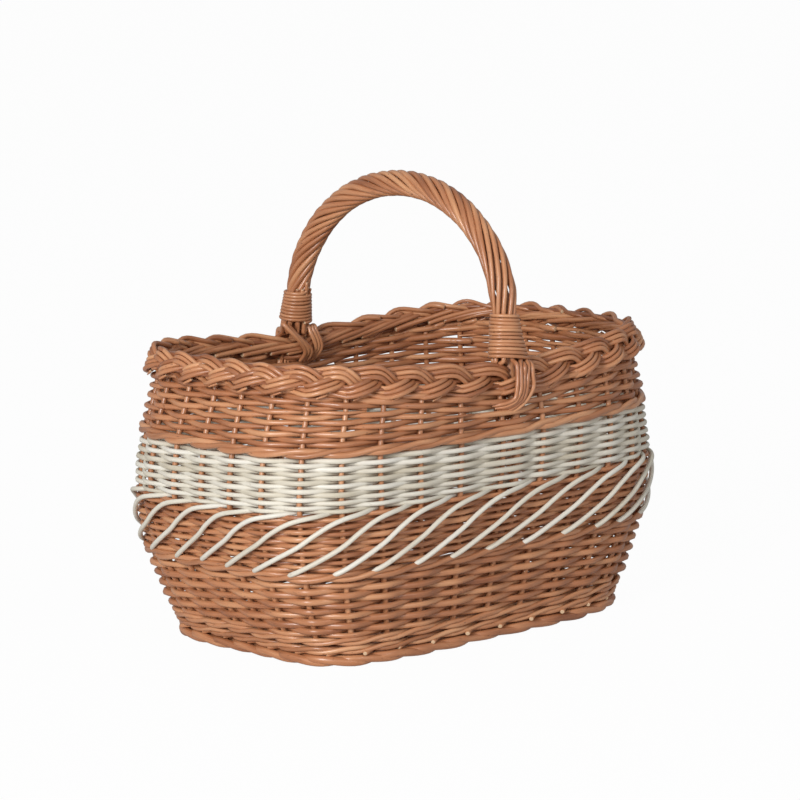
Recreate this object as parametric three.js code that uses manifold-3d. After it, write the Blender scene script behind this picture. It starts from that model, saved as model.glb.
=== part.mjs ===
import * as THREE from 'three';
import { mergeVertices } from 'three/addons/utils/BufferGeometryUtils.js';
import Module from 'manifold-3d';

// A willow foraging basket: a flared rectangular body with round corners, a band of peeled white
// willow, a plaited border and a twisted cross handle. All lengths are in millimetres. Z points up,
// X runs along the basket and Y across it. The origin lies on the ground under the basket's middle.

// Outside of the woven wall at its fullest
const bellyLength = 434;
const bellyWidth = 286;

// Heights of the woven zones, counted from the ground up beside the handle
const footRowHeight = 6;
const upsettHeight = 12.6;
const lowerWeaveHeight = 45.4;
const waleHeight = 9;
const fineWeaveHeight = 45;
const tailRowHeight = 4.4;
const whiteBandHeight = 39.6;
const upperWeaveHeight = 22.6;

// How much higher the rim stands at the two ends than beside the handle
const endRise = 18;
const endRisePower = 1.2;

// Uprights
const stakeCount = 33;
const stakeDiameter = 5;
const stakeSides = 4;
const stakeBends = 7;
const stakeFootHeight = 1;

// Rods woven round the uprights. The lower weave has its real rows, and above it one row here
// stands for two or three real rods laid together.
const weaverThickness = 4.4;
const upsettThickness = 4.8;
const waleThickness = 5.4;
const footThickness = 5;
const tailThickness = 3.6;
const tailWidth = 4;
const weaverTip = 1.6;
const lowerWeaveRows = 10;
const fineWeaveRows = 5;
const whiteBandRows = 4;
const upperWeaveRows = 3;

// Slanting white rods: how many stake gaps each one crosses on its way down
const tailSpanGaps = 2;
const tailSteps = 3;
const tailStartShare = 0.18;
const tailShoulderDrop = 1;
const tailEndRise = 3;

// Border of three plaited strands
const strandDepth = 10.8;
const strandHeight = 6.7;
const strandFlatShare = 0.28;
const plaitSwing = 9.8;
const legRoom = 2.2;
const legSpreadShare = 1.1;

// Handle: a stout bow with four twisted bundles laid round it, bound above the border. The arch
// leans a little along the basket, most at its top.
const handlePlace = 4;
const handleSpan = 247;
const springRise = 41.5;
const archRise = 105;
const archLean = 9;
const bowDiameter = 9;
const bowTipDiameter = 6;
const bowTipRise = 9;
const bowSides = 6;
const archSteps = 18;
const bundleThickness = 5.2;
const bundleCount = 4;
const bundleHalfAngle = THREE.MathUtils.degToRad(40);
const bundleTurns = 1;
const tailBundleThickness = 4.6;
const tailBundleWidth = 7.4;
const tailBundleReach = 26;
const bindingRise = 21.8;
const bindingLength = 34;
const bindingRodDiameter = 2.3;
const bindingTurns = 10;
const bindingSides = 5;
const bindingStepsPerTurn = 10;

// Bottom: sticks along the basket, with one rod woven to and fro across them
const baseStickCount = 6;
const baseStickDiameter = 7;
const baseStickSides = 6;
const baseWeaverThickness = 3;
const baseRowCount = 20;
const baseHeight = 9;
const baseTurnReach = 6.5;

// Clearances between pieces that touch on the real basket
const seatGap = 0.45;
const rowGap = 0.4;
const slantGap = 1.1;

const brownWillow = { color: 0xb8835a, roughness: 0.55, metalness: 0 };
const paleWillow = { color: 0xc79468, roughness: 0.5, metalness: 0 };
const whiteWillow = { color: 0xe2ddcc, roughness: 0.5, metalness: 0 };

const zAxis = new THREE.Vector3(0, 0, 1);
const xAxis = new THREE.Vector3(1, 0, 0);
const fullTurn = 2 * Math.PI;

// Levels are heights beside the handle
const footTop = 2 * footRowHeight;
const upsettTop = footTop + upsettHeight;
const lowerWaleBottom = upsettTop + lowerWeaveHeight;
const lowerWaleTop = lowerWaleBottom + waleHeight;
const fineWeaveTop = lowerWaleTop + fineWeaveHeight;
const whiteBandBottom = fineWeaveTop + tailRowHeight;
const whiteBandTop = whiteBandBottom + whiteBandHeight;
const upperWaleTop = whiteBandTop + waleHeight;
const wallTop = upperWaleTop + upperWeaveHeight;
const plaitCentre = wallTop + seatGap + plaitSwing + strandHeight / 2;
const bowTipHeight = lowerWaleTop + bowTipRise;
const bindingBottom = plaitCentre + bindingRise;
const springHeight = plaitCentre + springRise;

const stakeRadius = stakeDiameter / 2;
const wallHalf = stakeRadius + seatGap + weaverThickness;

// Outline of the outside at a few levels, as shares of the belly's half length and half width. A
// squareness of 2 is an ellipse, and larger values make it a rectangle with rounder corners.
const outlineShares = [
  { level: 0, length: 0.79, width: 0.8, squareness: 5 },
  { level: lowerWaleBottom, length: 0.94, width: 0.9, squareness: 4.6 },
  { level: whiteBandBottom, length: 1, width: 0.972, squareness: 3.9 },
  { level: whiteBandTop, length: 0.985, width: 1, squareness: 3.4 },
  { level: wallTop, length: 0.945, width: 0.972, squareness: 3.5 },
  { level: plaitCentre, length: 0.935, width: 0.962, squareness: 3.7 },
];

// A smooth value between the rows of the outline table: each stretch is a cubic whose slopes at its
// two ends are those of the chords beside them.
function outlineValue(key, level) {
  const last = outlineShares.length - 1;
  let i = 0;
  while (i < last - 1 && level > outlineShares[i + 1].level) {
    i += 1;
  }
  const slopeAt = (k) => {
    const before = outlineShares[Math.max(k - 1, 0)];
    const after = outlineShares[Math.min(k + 1, last)];
    return (after[key] - before[key]) / (after.level - before.level);
  };
  const from = outlineShares[i];
  const to = outlineShares[i + 1];
  const span = to.level - from.level;
  const t = THREE.MathUtils.clamp((level - from.level) / span, 0, 1);
  const rise = t * t * (3 - 2 * t);
  const startPull = t * (1 - t) * (1 - t) * span * slopeAt(i);
  const endPull = -t * t * (1 - t) * span * slopeAt(i + 1);
  return from[key] + (to[key] - from[key]) * rise + startPull + endPull;
}

// A point on the middle surface of the wall, in a fixed direction seen from above, with the outward
// normal there. The rim's rise towards the ends starts at the top of the upper wale.
function smoothPlace(angle, level) {
  const halfLength = (bellyLength / 2) * outlineValue('length', level) - wallHalf;
  const halfWidth = (bellyWidth / 2) * outlineValue('width', level) - wallHalf;
  const power = outlineValue('squareness', level);
  const alongShare = Math.abs(Math.cos(angle)) / halfLength;
  const acrossShare = Math.abs(Math.sin(angle)) / halfWidth;
  const radius = (alongShare ** power + acrossShare ** power) ** (-1 / power);
  const normal = new THREE.Vector3(
    (Math.sign(Math.cos(angle)) * (alongShare * radius) ** (power - 1)) / halfLength,
    (Math.sign(Math.sin(angle)) * (acrossShare * radius) ** (power - 1)) / halfWidth,
    0,
  ).normalize();
  const risen = THREE.MathUtils.clamp((level - upperWaleTop) / (wallTop - upperWaleTop), 0, 1);
  const height = level + endRise * risen * (alongShare * radius) ** endRisePower;
  const point = new THREE.Vector3(radius * Math.cos(angle), radius * Math.sin(angle), height);
  return { point, normal };
}

// Levels at which the uprights bend. They run straight from one to the next, and so does the wall.
const bendLevels = [];
for (let k = 0; k <= stakeBends; k += 1) {
  bendLevels.push(stakeFootHeight + ((wallTop - stakeFootHeight) * k) / stakeBends);
}
bendLevels.push(plaitCentre);

function wallPlace(angle, level, offset = 0) {
  const above = bendLevels.findIndex((bend) => bend > level);
  const upper = above < 0 ? bendLevels.length - 1 : Math.max(above, 1);
  const lower = upper - 1;
  const share = (level - bendLevels[lower]) / (bendLevels[upper] - bendLevels[lower]);
  const from = smoothPlace(angle, bendLevels[lower]);
  const to = smoothPlace(angle, bendLevels[upper]);
  const normal = from.normal.lerp(to.normal, share).normalize();
  return { point: from.point.lerp(to.point, share).addScaledVector(normal, offset), normal };
}

// Directions of the uprights, counted from the +X end. The gaps are widest beside the handle and
// narrowest at the corners and the ends.
function stakeAngles() {
  const handleSpreadShare = 0.148;
  const cornerSpreadShare = 0.08;
  const samples = 1440;
  const arc = [0];
  for (let k = 1; k <= samples; k += 1) {
    const here = wallPlace((fullTurn * k) / samples, whiteBandBottom).point;
    const before = wallPlace((fullTurn * (k - 1)) / samples, whiteBandBottom).point;
    arc.push(arc[k - 1] + here.distanceTo(before));
  }
  const angles = [];
  for (let i = 0; i < stakeCount; i += 1) {
    const phase = (fullTurn * (i + 1 / 2)) / stakeCount;
    const spread = (handleSpreadShare / 2) * Math.sin(2 * phase);
    const gather = (cornerSpreadShare / 4) * Math.sin(4 * phase);
    const target = (arc[samples] * (phase - spread + gather)) / fullTurn;
    const k = arc.findIndex((value) => value > target);
    const part = (target - arc[k - 1]) / (arc[k] - arc[k - 1]);
    angles.push((fullTurn * (k - 1 + part)) / samples);
  }
  return angles;
}

const angles = stakeAngles();
const handleLean = Math.atan2(handlePlace, bellyWidth / 2 - wallHalf);
const legAngles = [Math.PI / 2 - handleLean, 1.5 * Math.PI + handleLean];

// Uprights and handle legs in order round the basket. A leg is passed on the same side as the stake
// that stands beside it.
function makePosts() {
  const stakes = angles.map((angle, stake) => ({ angle, stake, isLeg: false }));
  const legs = legAngles.map((angle) => {
    const nearest = stakes.reduce((best, one) =>
      Math.abs(one.angle - angle) < Math.abs(best.angle - angle) ? one : best,
    );
    return { angle, stake: nearest.stake, isLeg: true };
  });
  return [...stakes, ...legs].sort((one, other) => one.angle - other.angle);
}

const posts = makePosts();
const bareStakes = posts.filter((post) => !post.isLeg);

function bowRadiusAt(height) {
  const share = THREE.MathUtils.clamp((height - bowTipHeight) / (springHeight - bowTipHeight), 0, 1);
  return (bowTipDiameter + (bowDiameter - bowTipDiameter) * share) / 2;
}

function postRadius(post, level) {
  return post.isLeg ? bowRadiusAt(level) : stakeRadius;
}

// A closed solid through a row of rings that have the same number of corners. Seen from ahead, each
// ring runs counter-clockwise. A looped tube joins its last ring to its first.
function tubeGeometry(rings, looped = false) {
  const corners = rings[0].length;
  const positions = rings.flatMap((ring) => ring.flatMap((corner) => corner.toArray()));
  const triangles = [];
  const stretches = looped ? rings.length : rings.length - 1;
  for (let i = 0; i < stretches; i += 1) {
    const next = (i + 1) % rings.length;
    for (let k = 0; k < corners; k += 1) {
      const after = (k + 1) % corners;
      const a = i * corners + k;
      const b = i * corners + after;
      const c = next * corners + k;
      const d = next * corners + after;
      triangles.push(a, b, d, a, d, c);
    }
  }
  if (!looped) {
    const end = (rings.length - 1) * corners;
    for (let k = 1; k < corners - 1; k += 1) {
      triangles.push(0, k + 1, k);
      triangles.push(end, end + k, end + k + 1);
    }
  }
  const geometry = new THREE.BufferGeometry();
  geometry.setAttribute('position', new THREE.Float32BufferAttribute(positions, 3));
  geometry.setIndex(triangles);
  return geometry;
}

// Corners of a regular section about a centre, in the plane of two directions
function roundRing(centre, first, second, radius, sides) {
  const ring = [];
  for (let k = 0; k < sides; k += 1) {
    const turn = (fullTurn * k) / sides;
    const corner = centre.clone().addScaledVector(first, radius * Math.cos(turn));
    ring.push(corner.addScaledVector(second, radius * Math.sin(turn)));
  }
  return ring;
}

// The distance of a rod's centre from the middle of each post that it passes. A rod that meets the
// post at a lean comes closer to it than its corner does, so the distance grows with the lean.
function passOffsets(row, sides, thickness) {
  const count = row.length;
  const nominal = row.map((post, i) => {
    const offset = sides[i] * (postRadius(post, post.level) + seatGap + thickness / 2);
    return wallPlace(post.angle, post.level, offset).point.setZ(0);
  });
  return row.map((post, i) => {
    const { normal } = wallPlace(post.angle, post.level);
    const neighbours = [nominal[(i + count - 1) % count], nominal[(i + 1) % count]];
    const leans = neighbours.map((other) => {
      const run = other.clone().sub(nominal[i]).normalize();
      return Math.sqrt(1 - run.dot(normal) ** 2);
    });
    const nearest = (postRadius(post, post.level) + seatGap) / Math.min(...leans);
    return sides[i] * (nearest + thickness / 2);
  });
}

// Rings of one rod that passes the given posts. Each post has the levels of the row's underside and
// top there, and the side on which the rod passes it, +1 outside and -1 inside. The rod leans with
// the wall, and a flat one has level faces above and below.
function rodRings(row, sides, thickness, flat) {
  const offsets = passOffsets(row, sides, thickness);
  const half = thickness / 2;
  return row.map((post, i) => {
    const at = (out, level, shift) => {
      const { point } = wallPlace(post.angle, level, offsets[i] + out);
      return point.setZ(point.z + shift);
    };
    const top = (out) => at(out, post.over, -rowGap / 2);
    const underside = (out) => at(out, post.under, flat && post.under === 0 ? 0 : rowGap / 2);
    if (flat) {
      return [top(-half), top(half), underside(half), underside(-half)];
    }
    return [top(0), at(half, post.level, 0), underside(0), at(-half, post.level, 0)];
  });
}

// A woven zone: one rod that spirals up in front of one upright and behind the next. It starts and
// ends as a thin tip, so that the zone's two edges lie level.
function spiralWeave(bottom, height, rows, thickness) {
  const slope = (height - 2 * weaverTip) / rows;
  const topOf = (turns) => {
    if (turns < 0) {
      return bottom;
    }
    return Math.min(bottom + weaverTip + slope * turns, bottom + height);
  };
  const row = [];
  const sides = [];
  for (let k = 0; k < (rows + 1) * posts.length; k += 1) {
    const post = posts[k % posts.length];
    const turns = k / posts.length;
    const under = topOf(turns - 1);
    const over = topOf(turns);
    if (post.isLeg && over < bowTipHeight - rowGap) {
      continue;
    }
    row.push({ ...post, under, over, level: (under + over) / 2 });
    const passedStakes = Math.floor(turns) * stakeCount + post.stake;
    sides.push(passedStakes % 2 === 0 ? 1 : -1);
  }
  return tubeGeometry(rodRings(row, sides, thickness, false));
}

// A wale: a closed round that passes outside two uprights and inside the third
function waleRings(under, over, thickness, shift, flat) {
  const passed = over < bowTipHeight ? bareStakes : posts;
  const row = passed.map((post) => ({ ...post, under, over, level: (under + over) / 2 }));
  const sides = passed.map((post) => ((post.stake + shift) % 3 === 0 ? -1 : 1));
  return rodRings(row, sides, thickness, flat);
}

// The two rods of the foot, one on the other. The lower one stands flat on the ground.
const footLowerRings = waleRings(0, footRowHeight, footThickness, 0, true);
const footUpperRings = waleRings(footRowHeight, footTop, footThickness, 1, true);

const wasm = await Module();
wasm.setup();

function solidOf(geometry) {
  const bare = new THREE.BufferGeometry();
  bare.setAttribute('position', geometry.getAttribute('position').clone());
  bare.setIndex(geometry.getIndex().clone());
  const merged = mergeVertices(bare);
  return new wasm.Manifold(
    new wasm.Mesh({
      numProp: 3,
      vertProperties: Float32Array.from(merged.getAttribute('position').array),
      triVerts: Uint32Array.from(merged.getIndex().array),
    }),
  );
}

function geometryOf(solid) {
  const mesh = solid.getMesh();
  const geometry = new THREE.BufferGeometry();
  geometry.setAttribute('position', new THREE.Float32BufferAttribute(mesh.vertProperties, 3));
  geometry.setIndex(new THREE.Uint32BufferAttribute(mesh.triVerts, 1));
  return geometry;
}

// Direction at a place counted in stake gaps, also between two stakes
function angleAt(place) {
  const whole = Math.floor(place);
  const from = angles[((whole % stakeCount) + stakeCount) % stakeCount];
  const to = angles[(((whole + 1) % stakeCount) + stakeCount) % stakeCount];
  const gap = (to - from + fullTurn) % fullTurn;
  return (from + gap * (place - whole)) % fullTurn;
}

// How far rods of a given thickness stand out from the wall's middle at the posts next to a direction
function reachBeside(angle, level, thickness) {
  const row = posts.map((post) => ({ ...post, level }));
  const sides = row.map((post) => (post.stake % 2 === 0 ? 1 : -1));
  const swapped = sides.map((side) => -side);
  const reaches = [sides, swapped].map((set) => passOffsets(row, set, thickness).map(Math.abs));
  const after = posts.findIndex((post) => post.angle > angle);
  const next = after < 0 ? 0 : after;
  const before = (next + posts.length - 1) % posts.length;
  const widest = Math.max(...reaches.map((set) => Math.max(set[next], set[before])));
  return widest + thickness / 2;
}

// White rods: a row that runs round outside the uprights along the white band's lower edge, and at
// each upright a rod that leaves it, slants down across the fine weave and ends above the lower wale
function whiteTailRods() {
  const level = (fineWeaveTop + whiteBandBottom) / 2;
  const row = posts.map((post) => ({ ...post, under: fineWeaveTop, over: whiteBandBottom, level }));
  const sides = row.map(() => 1);
  const offsets = passOffsets(row, sides, tailThickness);
  let solid = solidOf(tubeGeometry(rodRings(row, sides, tailThickness, false), true));
  const shoulder = fineWeaveTop - tailShoulderDrop;
  const endLevel = lowerWaleTop + tailEndRise;
  for (let stake = 0; stake < stakeCount; stake += 1) {
    const stations = [];
    const root = offsets[posts.findIndex((post) => post.stake === stake && !post.isLeg)];
    stations.push({ angle: angleAt(stake), level, offset: root });
    for (let k = 1; k <= tailSteps; k += 1) {
      const share = tailStartShare + ((1 - tailStartShare) * (k - 1)) / (tailSteps - 1);
      const angle = angleAt(stake - tailSpanGaps * share);
      const down = shoulder + ((endLevel - shoulder) * (k - 1)) / (tailSteps - 1);
      const offset = reachBeside(angle, down, weaverThickness) + slantGap + tailThickness / 2;
      stations.push({ angle, level: down, offset });
    }
    const centres = stations.map((one) => wallPlace(one.angle, one.level, one.offset).point);
    const rings = stations.map((one, k) => {
      const ahead = centres[Math.min(k + 1, tailSteps)];
      const behind = centres[Math.max(k - 1, 0)];
      const run = ahead.clone().sub(behind).normalize();
      const out = wallPlace(one.angle, one.level).normal;
      const across = new THREE.Vector3().crossVectors(run, out).normalize();
      const face = new THREE.Vector3().crossVectors(across, run);
      return [
        centres[k].clone().addScaledVector(face, tailThickness / 2),
        centres[k].clone().addScaledVector(across, tailWidth / 2),
        centres[k].clone().addScaledVector(face, -tailThickness / 2),
        centres[k].clone().addScaledVector(across, -tailWidth / 2),
      ];
    });
    solid = solid.add(solidOf(tubeGeometry(rings)));
  }
  return geometryOf(solid);
}

// An upright: it follows the wall from inside the foot to the underside of the border
function stakeGeometry(angle) {
  const rings = bendLevels.slice(0, -1).map((level) => {
    const { point, normal } = wallPlace(angle, level);
    const along = new THREE.Vector3().crossVectors(zAxis, normal);
    return roundRing(point, normal, along, stakeRadius, stakeSides);
  });
  return tubeGeometry(rings);
}

// The swing outwards at which two strands pass one another with a clearance
const plaitDepth = (strandDepth + seatGap) / Math.sqrt(3);
const plaitRoundTrips = Math.round(stakeCount / 3);
const legPass = bowRadiusAt(springHeight) + seatGap + legRoom + strandDepth / 2;

// Where the border's strands have their sections: over each stake, where one strand lies lowest, and
// between each two. Where a handle leg stands between two stakes, the strands have a section at the
// leg too, and the one between lies halfway from the leg to the stake further off.
function plaitSections() {
  const step = (fullTurn * plaitRoundTrips) / (2 * stakeCount);
  const sections = [];
  for (let stake = 0; stake < stakeCount; stake += 1) {
    const phase = fullTurn / 12 + 2 * stake * step;
    const from = angles[stake];
    const to = angles[(stake + 1) % stakeCount];
    sections.push({ angle: from, phase });
    const leg = posts.find((post) => post.isLeg && post.angle > from && post.angle < to);
    if (!leg) {
      sections.push({ angle: angleAt(stake + 1 / 2), phase: phase + step });
    } else if (leg.stake === stake) {
      sections.push({ angle: leg.angle, phase: phase + step / 2, passPhase: phase + (5 * step) / 6 });
      sections.push({ angle: (leg.angle + to) / 2, phase: phase + step });
    } else {
      sections.push({ angle: (from + leg.angle) / 2, phase: phase + step });
      sections.push({ angle: leg.angle, phase: phase + 1.5 * step, passPhase: phase + (7 * step) / 6 });
    }
  }
  return sections;
}

// One strand of the border. Its centre swings up and down once while it swings out and in twice, and
// the three strands follow one another a third of a swing apart. At a handle leg each strand passes
// outside or inside it.
function borderStrand(strand) {
  const shift = (strand * fullTurn) / 3;
  const rings = plaitSections().map(({ angle, phase, passPhase }) => {
    const { normal } = wallPlace(angle, plaitCentre);
    let rise = plaitSwing * Math.sin(phase + shift);
    let out = -plaitDepth * Math.sin(2 * (phase + shift));
    if (passPhase !== undefined) {
      out = -legPass * Math.sign(Math.sin(2 * (passPhase + shift)));
      rise *= legSpreadShare;
    }
    const centre = wallPlace(angle, plaitCentre, out).point;
    centre.z += rise;
    const up = strandHeight / 2;
    const deep = strandDepth / 2;
    const flat = deep * strandFlatShare;
    const at = (outward, upward) =>
      centre.clone().addScaledVector(normal, outward).addScaledVector(zAxis, upward);
    return [at(-flat, up), at(flat, up), at(deep, 0), at(flat, -up), at(-flat, -up), at(-deep, 0)];
  });
  return tubeGeometry(rings, true);
}

// Centreline of the bow from the tip of its leg at -Y, up through the wall and the border, over the
// arch and down to the other tip. Each place has its height, which sets the bow's thickness.
function bowPath() {
  const heights = [bowTipHeight, whiteBandBottom, whiteBandTop, wallTop, plaitCentre, bindingBottom];
  const leg = heights.map((height) => {
    const place = wallPlace(legAngles[1], Math.min(height, plaitCentre)).point;
    const share = Math.max(height - plaitCentre, 0) / (springHeight - plaitCentre);
    place.y += (-handleSpan / 2 - place.y) * share;
    place.x += (handlePlace - place.x) * share;
    return place.setZ(height);
  });
  const arch = [];
  for (let k = 0; k <= archSteps; k += 1) {
    const turn = (Math.PI * k) / archSteps;
    const across = (-handleSpan / 2) * Math.cos(turn);
    const along = handlePlace + archLean * Math.sin(turn);
    arch.push(new THREE.Vector3(along, across, springHeight + archRise * Math.sin(turn)));
  }
  const otherLeg = leg.map((place) => new THREE.Vector3(place.x, -place.y, place.z)).reverse();
  return [...leg, ...arch, ...otherLeg];
}

const bow = bowPath();

// The direction of a path at one of its places, and the direction square to it that points away from
// the arch's inside
function frameAt(path, index) {
  const ahead = path[Math.min(index + 1, path.length - 1)];
  const behind = path[Math.max(index - 1, 0)];
  const run = ahead.clone().sub(behind).normalize();
  const out = new THREE.Vector3().crossVectors(xAxis, run).normalize();
  return { run, out };
}

function handleBow() {
  const rings = bow.map((place, index) => {
    const { out } = frameAt(bow, index);
    return roundRing(place, out, xAxis, bowRadiusAt(place.z), bowSides);
  });
  return tubeGeometry(rings);
}

const bundleInner = (bowDiameter / 2 + seatGap) / Math.cos(bundleHalfAngle);
const bundleOuter = bowDiameter / 2 + seatGap + bundleThickness;
const tailBundlePass = legPass + (strandDepth + tailBundleThickness) / 2 + seatGap + rowGap;

// Section of a bundle laid on the bow, as distances out and sideways at a given turn round the bow
function bundleCorners(turn) {
  const corners = [
    [bundleInner, -bundleHalfAngle],
    [bundleOuter, -bundleHalfAngle],
    [bundleOuter, 0],
    [bundleOuter, bundleHalfAngle],
    [bundleInner, bundleHalfAngle],
  ];
  return corners.map(([reach, spread]) => ({
    out: reach * Math.cos(turn + spread),
    side: reach * Math.sin(turn + spread),
  }));
}

// The loose end of a bundle: from the binding it spreads over the border, follows its outer or inner
// face down and hooks back under it against the weave
function bundleEnd(turn, atFirstFoot) {
  const out = Math.sign(Math.cos(turn));
  const side = Math.sign(Math.sin(turn));
  const foot = atFirstFoot ? -1 : 1;
  const hook = stakeRadius + seatGap + weaverThickness + seatGap + tailBundleThickness;
  const route = [
    { reach: (bundleInner + tailBundlePass) / 2, height: bindingBottom - tailBundleThickness },
    { reach: tailBundlePass, height: plaitCentre + plaitSwing },
    { reach: tailBundlePass, height: plaitCentre - plaitSwing * legSpreadShare },
    { reach: (tailBundlePass + hook) / 2, height: wallTop - tailBundleThickness },
    { reach: hook, height: plaitCentre - tailBundleReach },
  ];
  const centres = route.map(({ reach, height }) => {
    const level = Math.min(height, plaitCentre);
    const place = wallPlace(atFirstFoot ? legAngles[1] : legAngles[0], level).point;
    const away = place.y + foot * out * reach;
    return new THREE.Vector3(place.x + (side * (tailBundleWidth + rowGap)) / 2, away, height);
  });
  return { centres, out, foot };
}

function endRings(turn, atFirstFoot) {
  const { centres, out } = bundleEnd(turn, atFirstFoot);
  const ordered = atFirstFoot ? centres.reverse() : centres;
  return ordered.map((centre, index) => {
    const away = frameAt(ordered, index).out.multiplyScalar(out);
    const half = tailBundleThickness / 2;
    const wide = tailBundleWidth / 2;
    const at = (outward, sideways) =>
      centre.clone().addScaledVector(away, outward).addScaledVector(xAxis, sideways * out);
    return [at(-half, -wide), at(half / 2, -wide), at(half, 0), at(half / 2, wide), at(-half, wide)];
  });
}

// A bundle twisted round the bow between the two bindings, with both its ends
function handleBundle(bundle) {
  const first = ((bundle + 1 / 2) * fullTurn) / bundleCount;
  const held = bow
    .map((place, index) => ({ place, index }))
    .filter(({ place }) => place.z >= bindingBottom);
  const rings = held.map(({ place, index }, k) => {
    const turn = first + (fullTurn * bundleTurns * k) / (held.length - 1);
    const { out } = frameAt(bow, index);
    return bundleCorners(turn).map((corner) =>
      place.clone().addScaledVector(out, corner.out).addScaledVector(xAxis, corner.side),
    );
  });
  const last = first + fullTurn * bundleTurns;
  return tubeGeometry([...endRings(first, true), ...rings, ...endRings(last, false)]);
}

// A place on the bow as far above the binding's lower end as a rod has climbed, with the direction
// square to the bow there. The leg at +Y mirrors the one at -Y.
function climbedPlace(climb, foot) {
  let index = bow.findIndex((place) => place.z >= bindingBottom);
  let left = climb;
  while (left > bow[index].distanceTo(bow[index + 1])) {
    left -= bow[index].distanceTo(bow[index + 1]);
    index += 1;
  }
  const share = left / bow[index].distanceTo(bow[index + 1]);
  const mirror = new THREE.Vector3(1, -foot, 1);
  const centre = bow[index].clone().lerp(bow[index + 1], share).multiply(mirror);
  const out = frameAt(bow, index).out.lerp(frameAt(bow, index + 1).out, share);
  return { centre, out: out.normalize().multiply(mirror) };
}

const bindingRod = bindingRodDiameter / 2;
const bindingReach = (bundleOuter + seatGap + bindingRod) / Math.cos(Math.PI / bindingStepsPerTurn);

// A binding: one rod wound close round the bow and its bundles, with a straight tip at both ends
function bindingGeometry(foot) {
  const count = bindingTurns * bindingStepsPerTurn;
  const centres = [];
  const outwards = [];
  for (let k = 0; k <= count; k += 1) {
    const turn = (fullTurn * k) / bindingStepsPerTurn;
    const climb = bindingRod + ((bindingLength - bindingRodDiameter) * k) / count;
    const { centre, out } = climbedPlace(climb, foot);
    const outward = xAxis.clone().multiplyScalar(Math.cos(turn)).addScaledVector(out, Math.sin(turn));
    centres.push(centre.addScaledVector(outward, bindingReach));
    outwards.push(outward);
  }
  const tip = (from, to) => from.clone().add(from.clone().sub(to).setLength(bindingRodDiameter));
  centres.unshift(tip(centres[0], centres[1]));
  outwards.unshift(outwards[0]);
  centres.push(tip(centres[count + 1], centres[count]));
  outwards.push(outwards[count + 1]);
  const gap = leastGap(centres, bindingStepsPerTurn, bindingRodDiameter);
  console.log(`binding at ${foot < 0 ? '-Y' : '+Y'}: least gap to itself ${gap.toFixed(2)} mm`);
  const rings = centres.map((centre, k) => {
    const run = centres[Math.min(k + 1, count + 2)].clone().sub(centres[Math.max(k - 1, 0)]).normalize();
    const second = new THREE.Vector3().crossVectors(run, outwards[k]).normalize();
    const first = new THREE.Vector3().crossVectors(second, run);
    return roundRing(centre, first, second, bindingRod, bindingSides);
  });
  return tubeGeometry(rings);
}

// The least distance between places of one winding that lie over half a turn apart, less its diameter
function leastGap(centres, stepsPerTurn, diameter) {
  let least = Infinity;
  for (let i = 0; i < centres.length; i += 1) {
    for (let k = i + Math.ceil(stepsPerTurn / 2); k < centres.length; k += 1) {
      least = Math.min(least, centres[i].distanceTo(centres[k]));
    }
  }
  return least - diameter;
}

// Inner edges of the foot's rods, as corners in order round the basket
const footEdges = [footLowerRings, footUpperRings].map((rings) => rings.map((ring) => ring[3]));

// How far the bottom reaches towards one end, +1 or -1, on a line at a distance from its long middle
// line: it ends where that line crosses the first of the foot's rods
function baseReach(end, across) {
  const reaches = [];
  for (const edge of footEdges) {
    edge.forEach((from, i) => {
      const to = edge[(i + 1) % edge.length];
      if ((from.y - across) * (to.y - across) < 0) {
        const share = (across - from.y) / (to.y - from.y);
        reaches.push(end * (from.x + (to.x - from.x) * share));
      }
    });
  }
  return Math.min(...reaches.filter((reach) => reach > 0)) - seatGap;
}

// Half length of the bottom at a distance from its long middle line, whichever end or side is shorter
function baseHalfLength(across) {
  const corners = [1, -1].flatMap((end) => [baseReach(end, across), baseReach(end, -across)]);
  return Math.min(...corners);
}

// The bottom's half width: beside the long walls it ends at the innermost foot rod
const besideLongWalls = footEdges.flat().filter((corner) => Math.abs(corner.x) < Math.abs(corner.y));
const baseHalfWidth = Math.min(...besideLongWalls.map((corner) => Math.abs(corner.y))) - seatGap;

const stickRadius = baseStickDiameter / 2;
const turnRoom = baseTurnReach + baseWeaverThickness;
const stickSpacing = (2 * (baseHalfWidth - turnRoom)) / (baseStickCount - 1);
const stickPlaces = Array.from(
  { length: baseStickCount },
  (_, i) => (i - (baseStickCount - 1) / 2) * stickSpacing,
);
const fullRowPlace = stickPlaces[baseStickCount - 2] + turnRoom;
const baseRowPitch = (2 * (baseHalfLength(fullRowPlace) - seatGap)) / baseRowCount;

// A stick of the bottom. Each of its ends stops short of the foot rod that it meets.
function baseStick(across) {
  const yAxis = new THREE.Vector3(0, 1, 0);
  const rings = [-1, 1].map((end) => {
    const sides = [baseReach(end, across - stickRadius), baseReach(end, across + stickRadius)];
    const between = footEdges
      .flat()
      .filter((corner) => Math.abs(corner.y - across) < stickRadius && end * corner.x > 0)
      .map((corner) => end * corner.x - seatGap);
    const centre = new THREE.Vector3(end * Math.min(...sides, ...between), across, baseHeight);
    return roundRing(centre, yAxis, zAxis, stickRadius, baseStickSides);
  });
  return tubeGeometry(rings);
}

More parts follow.
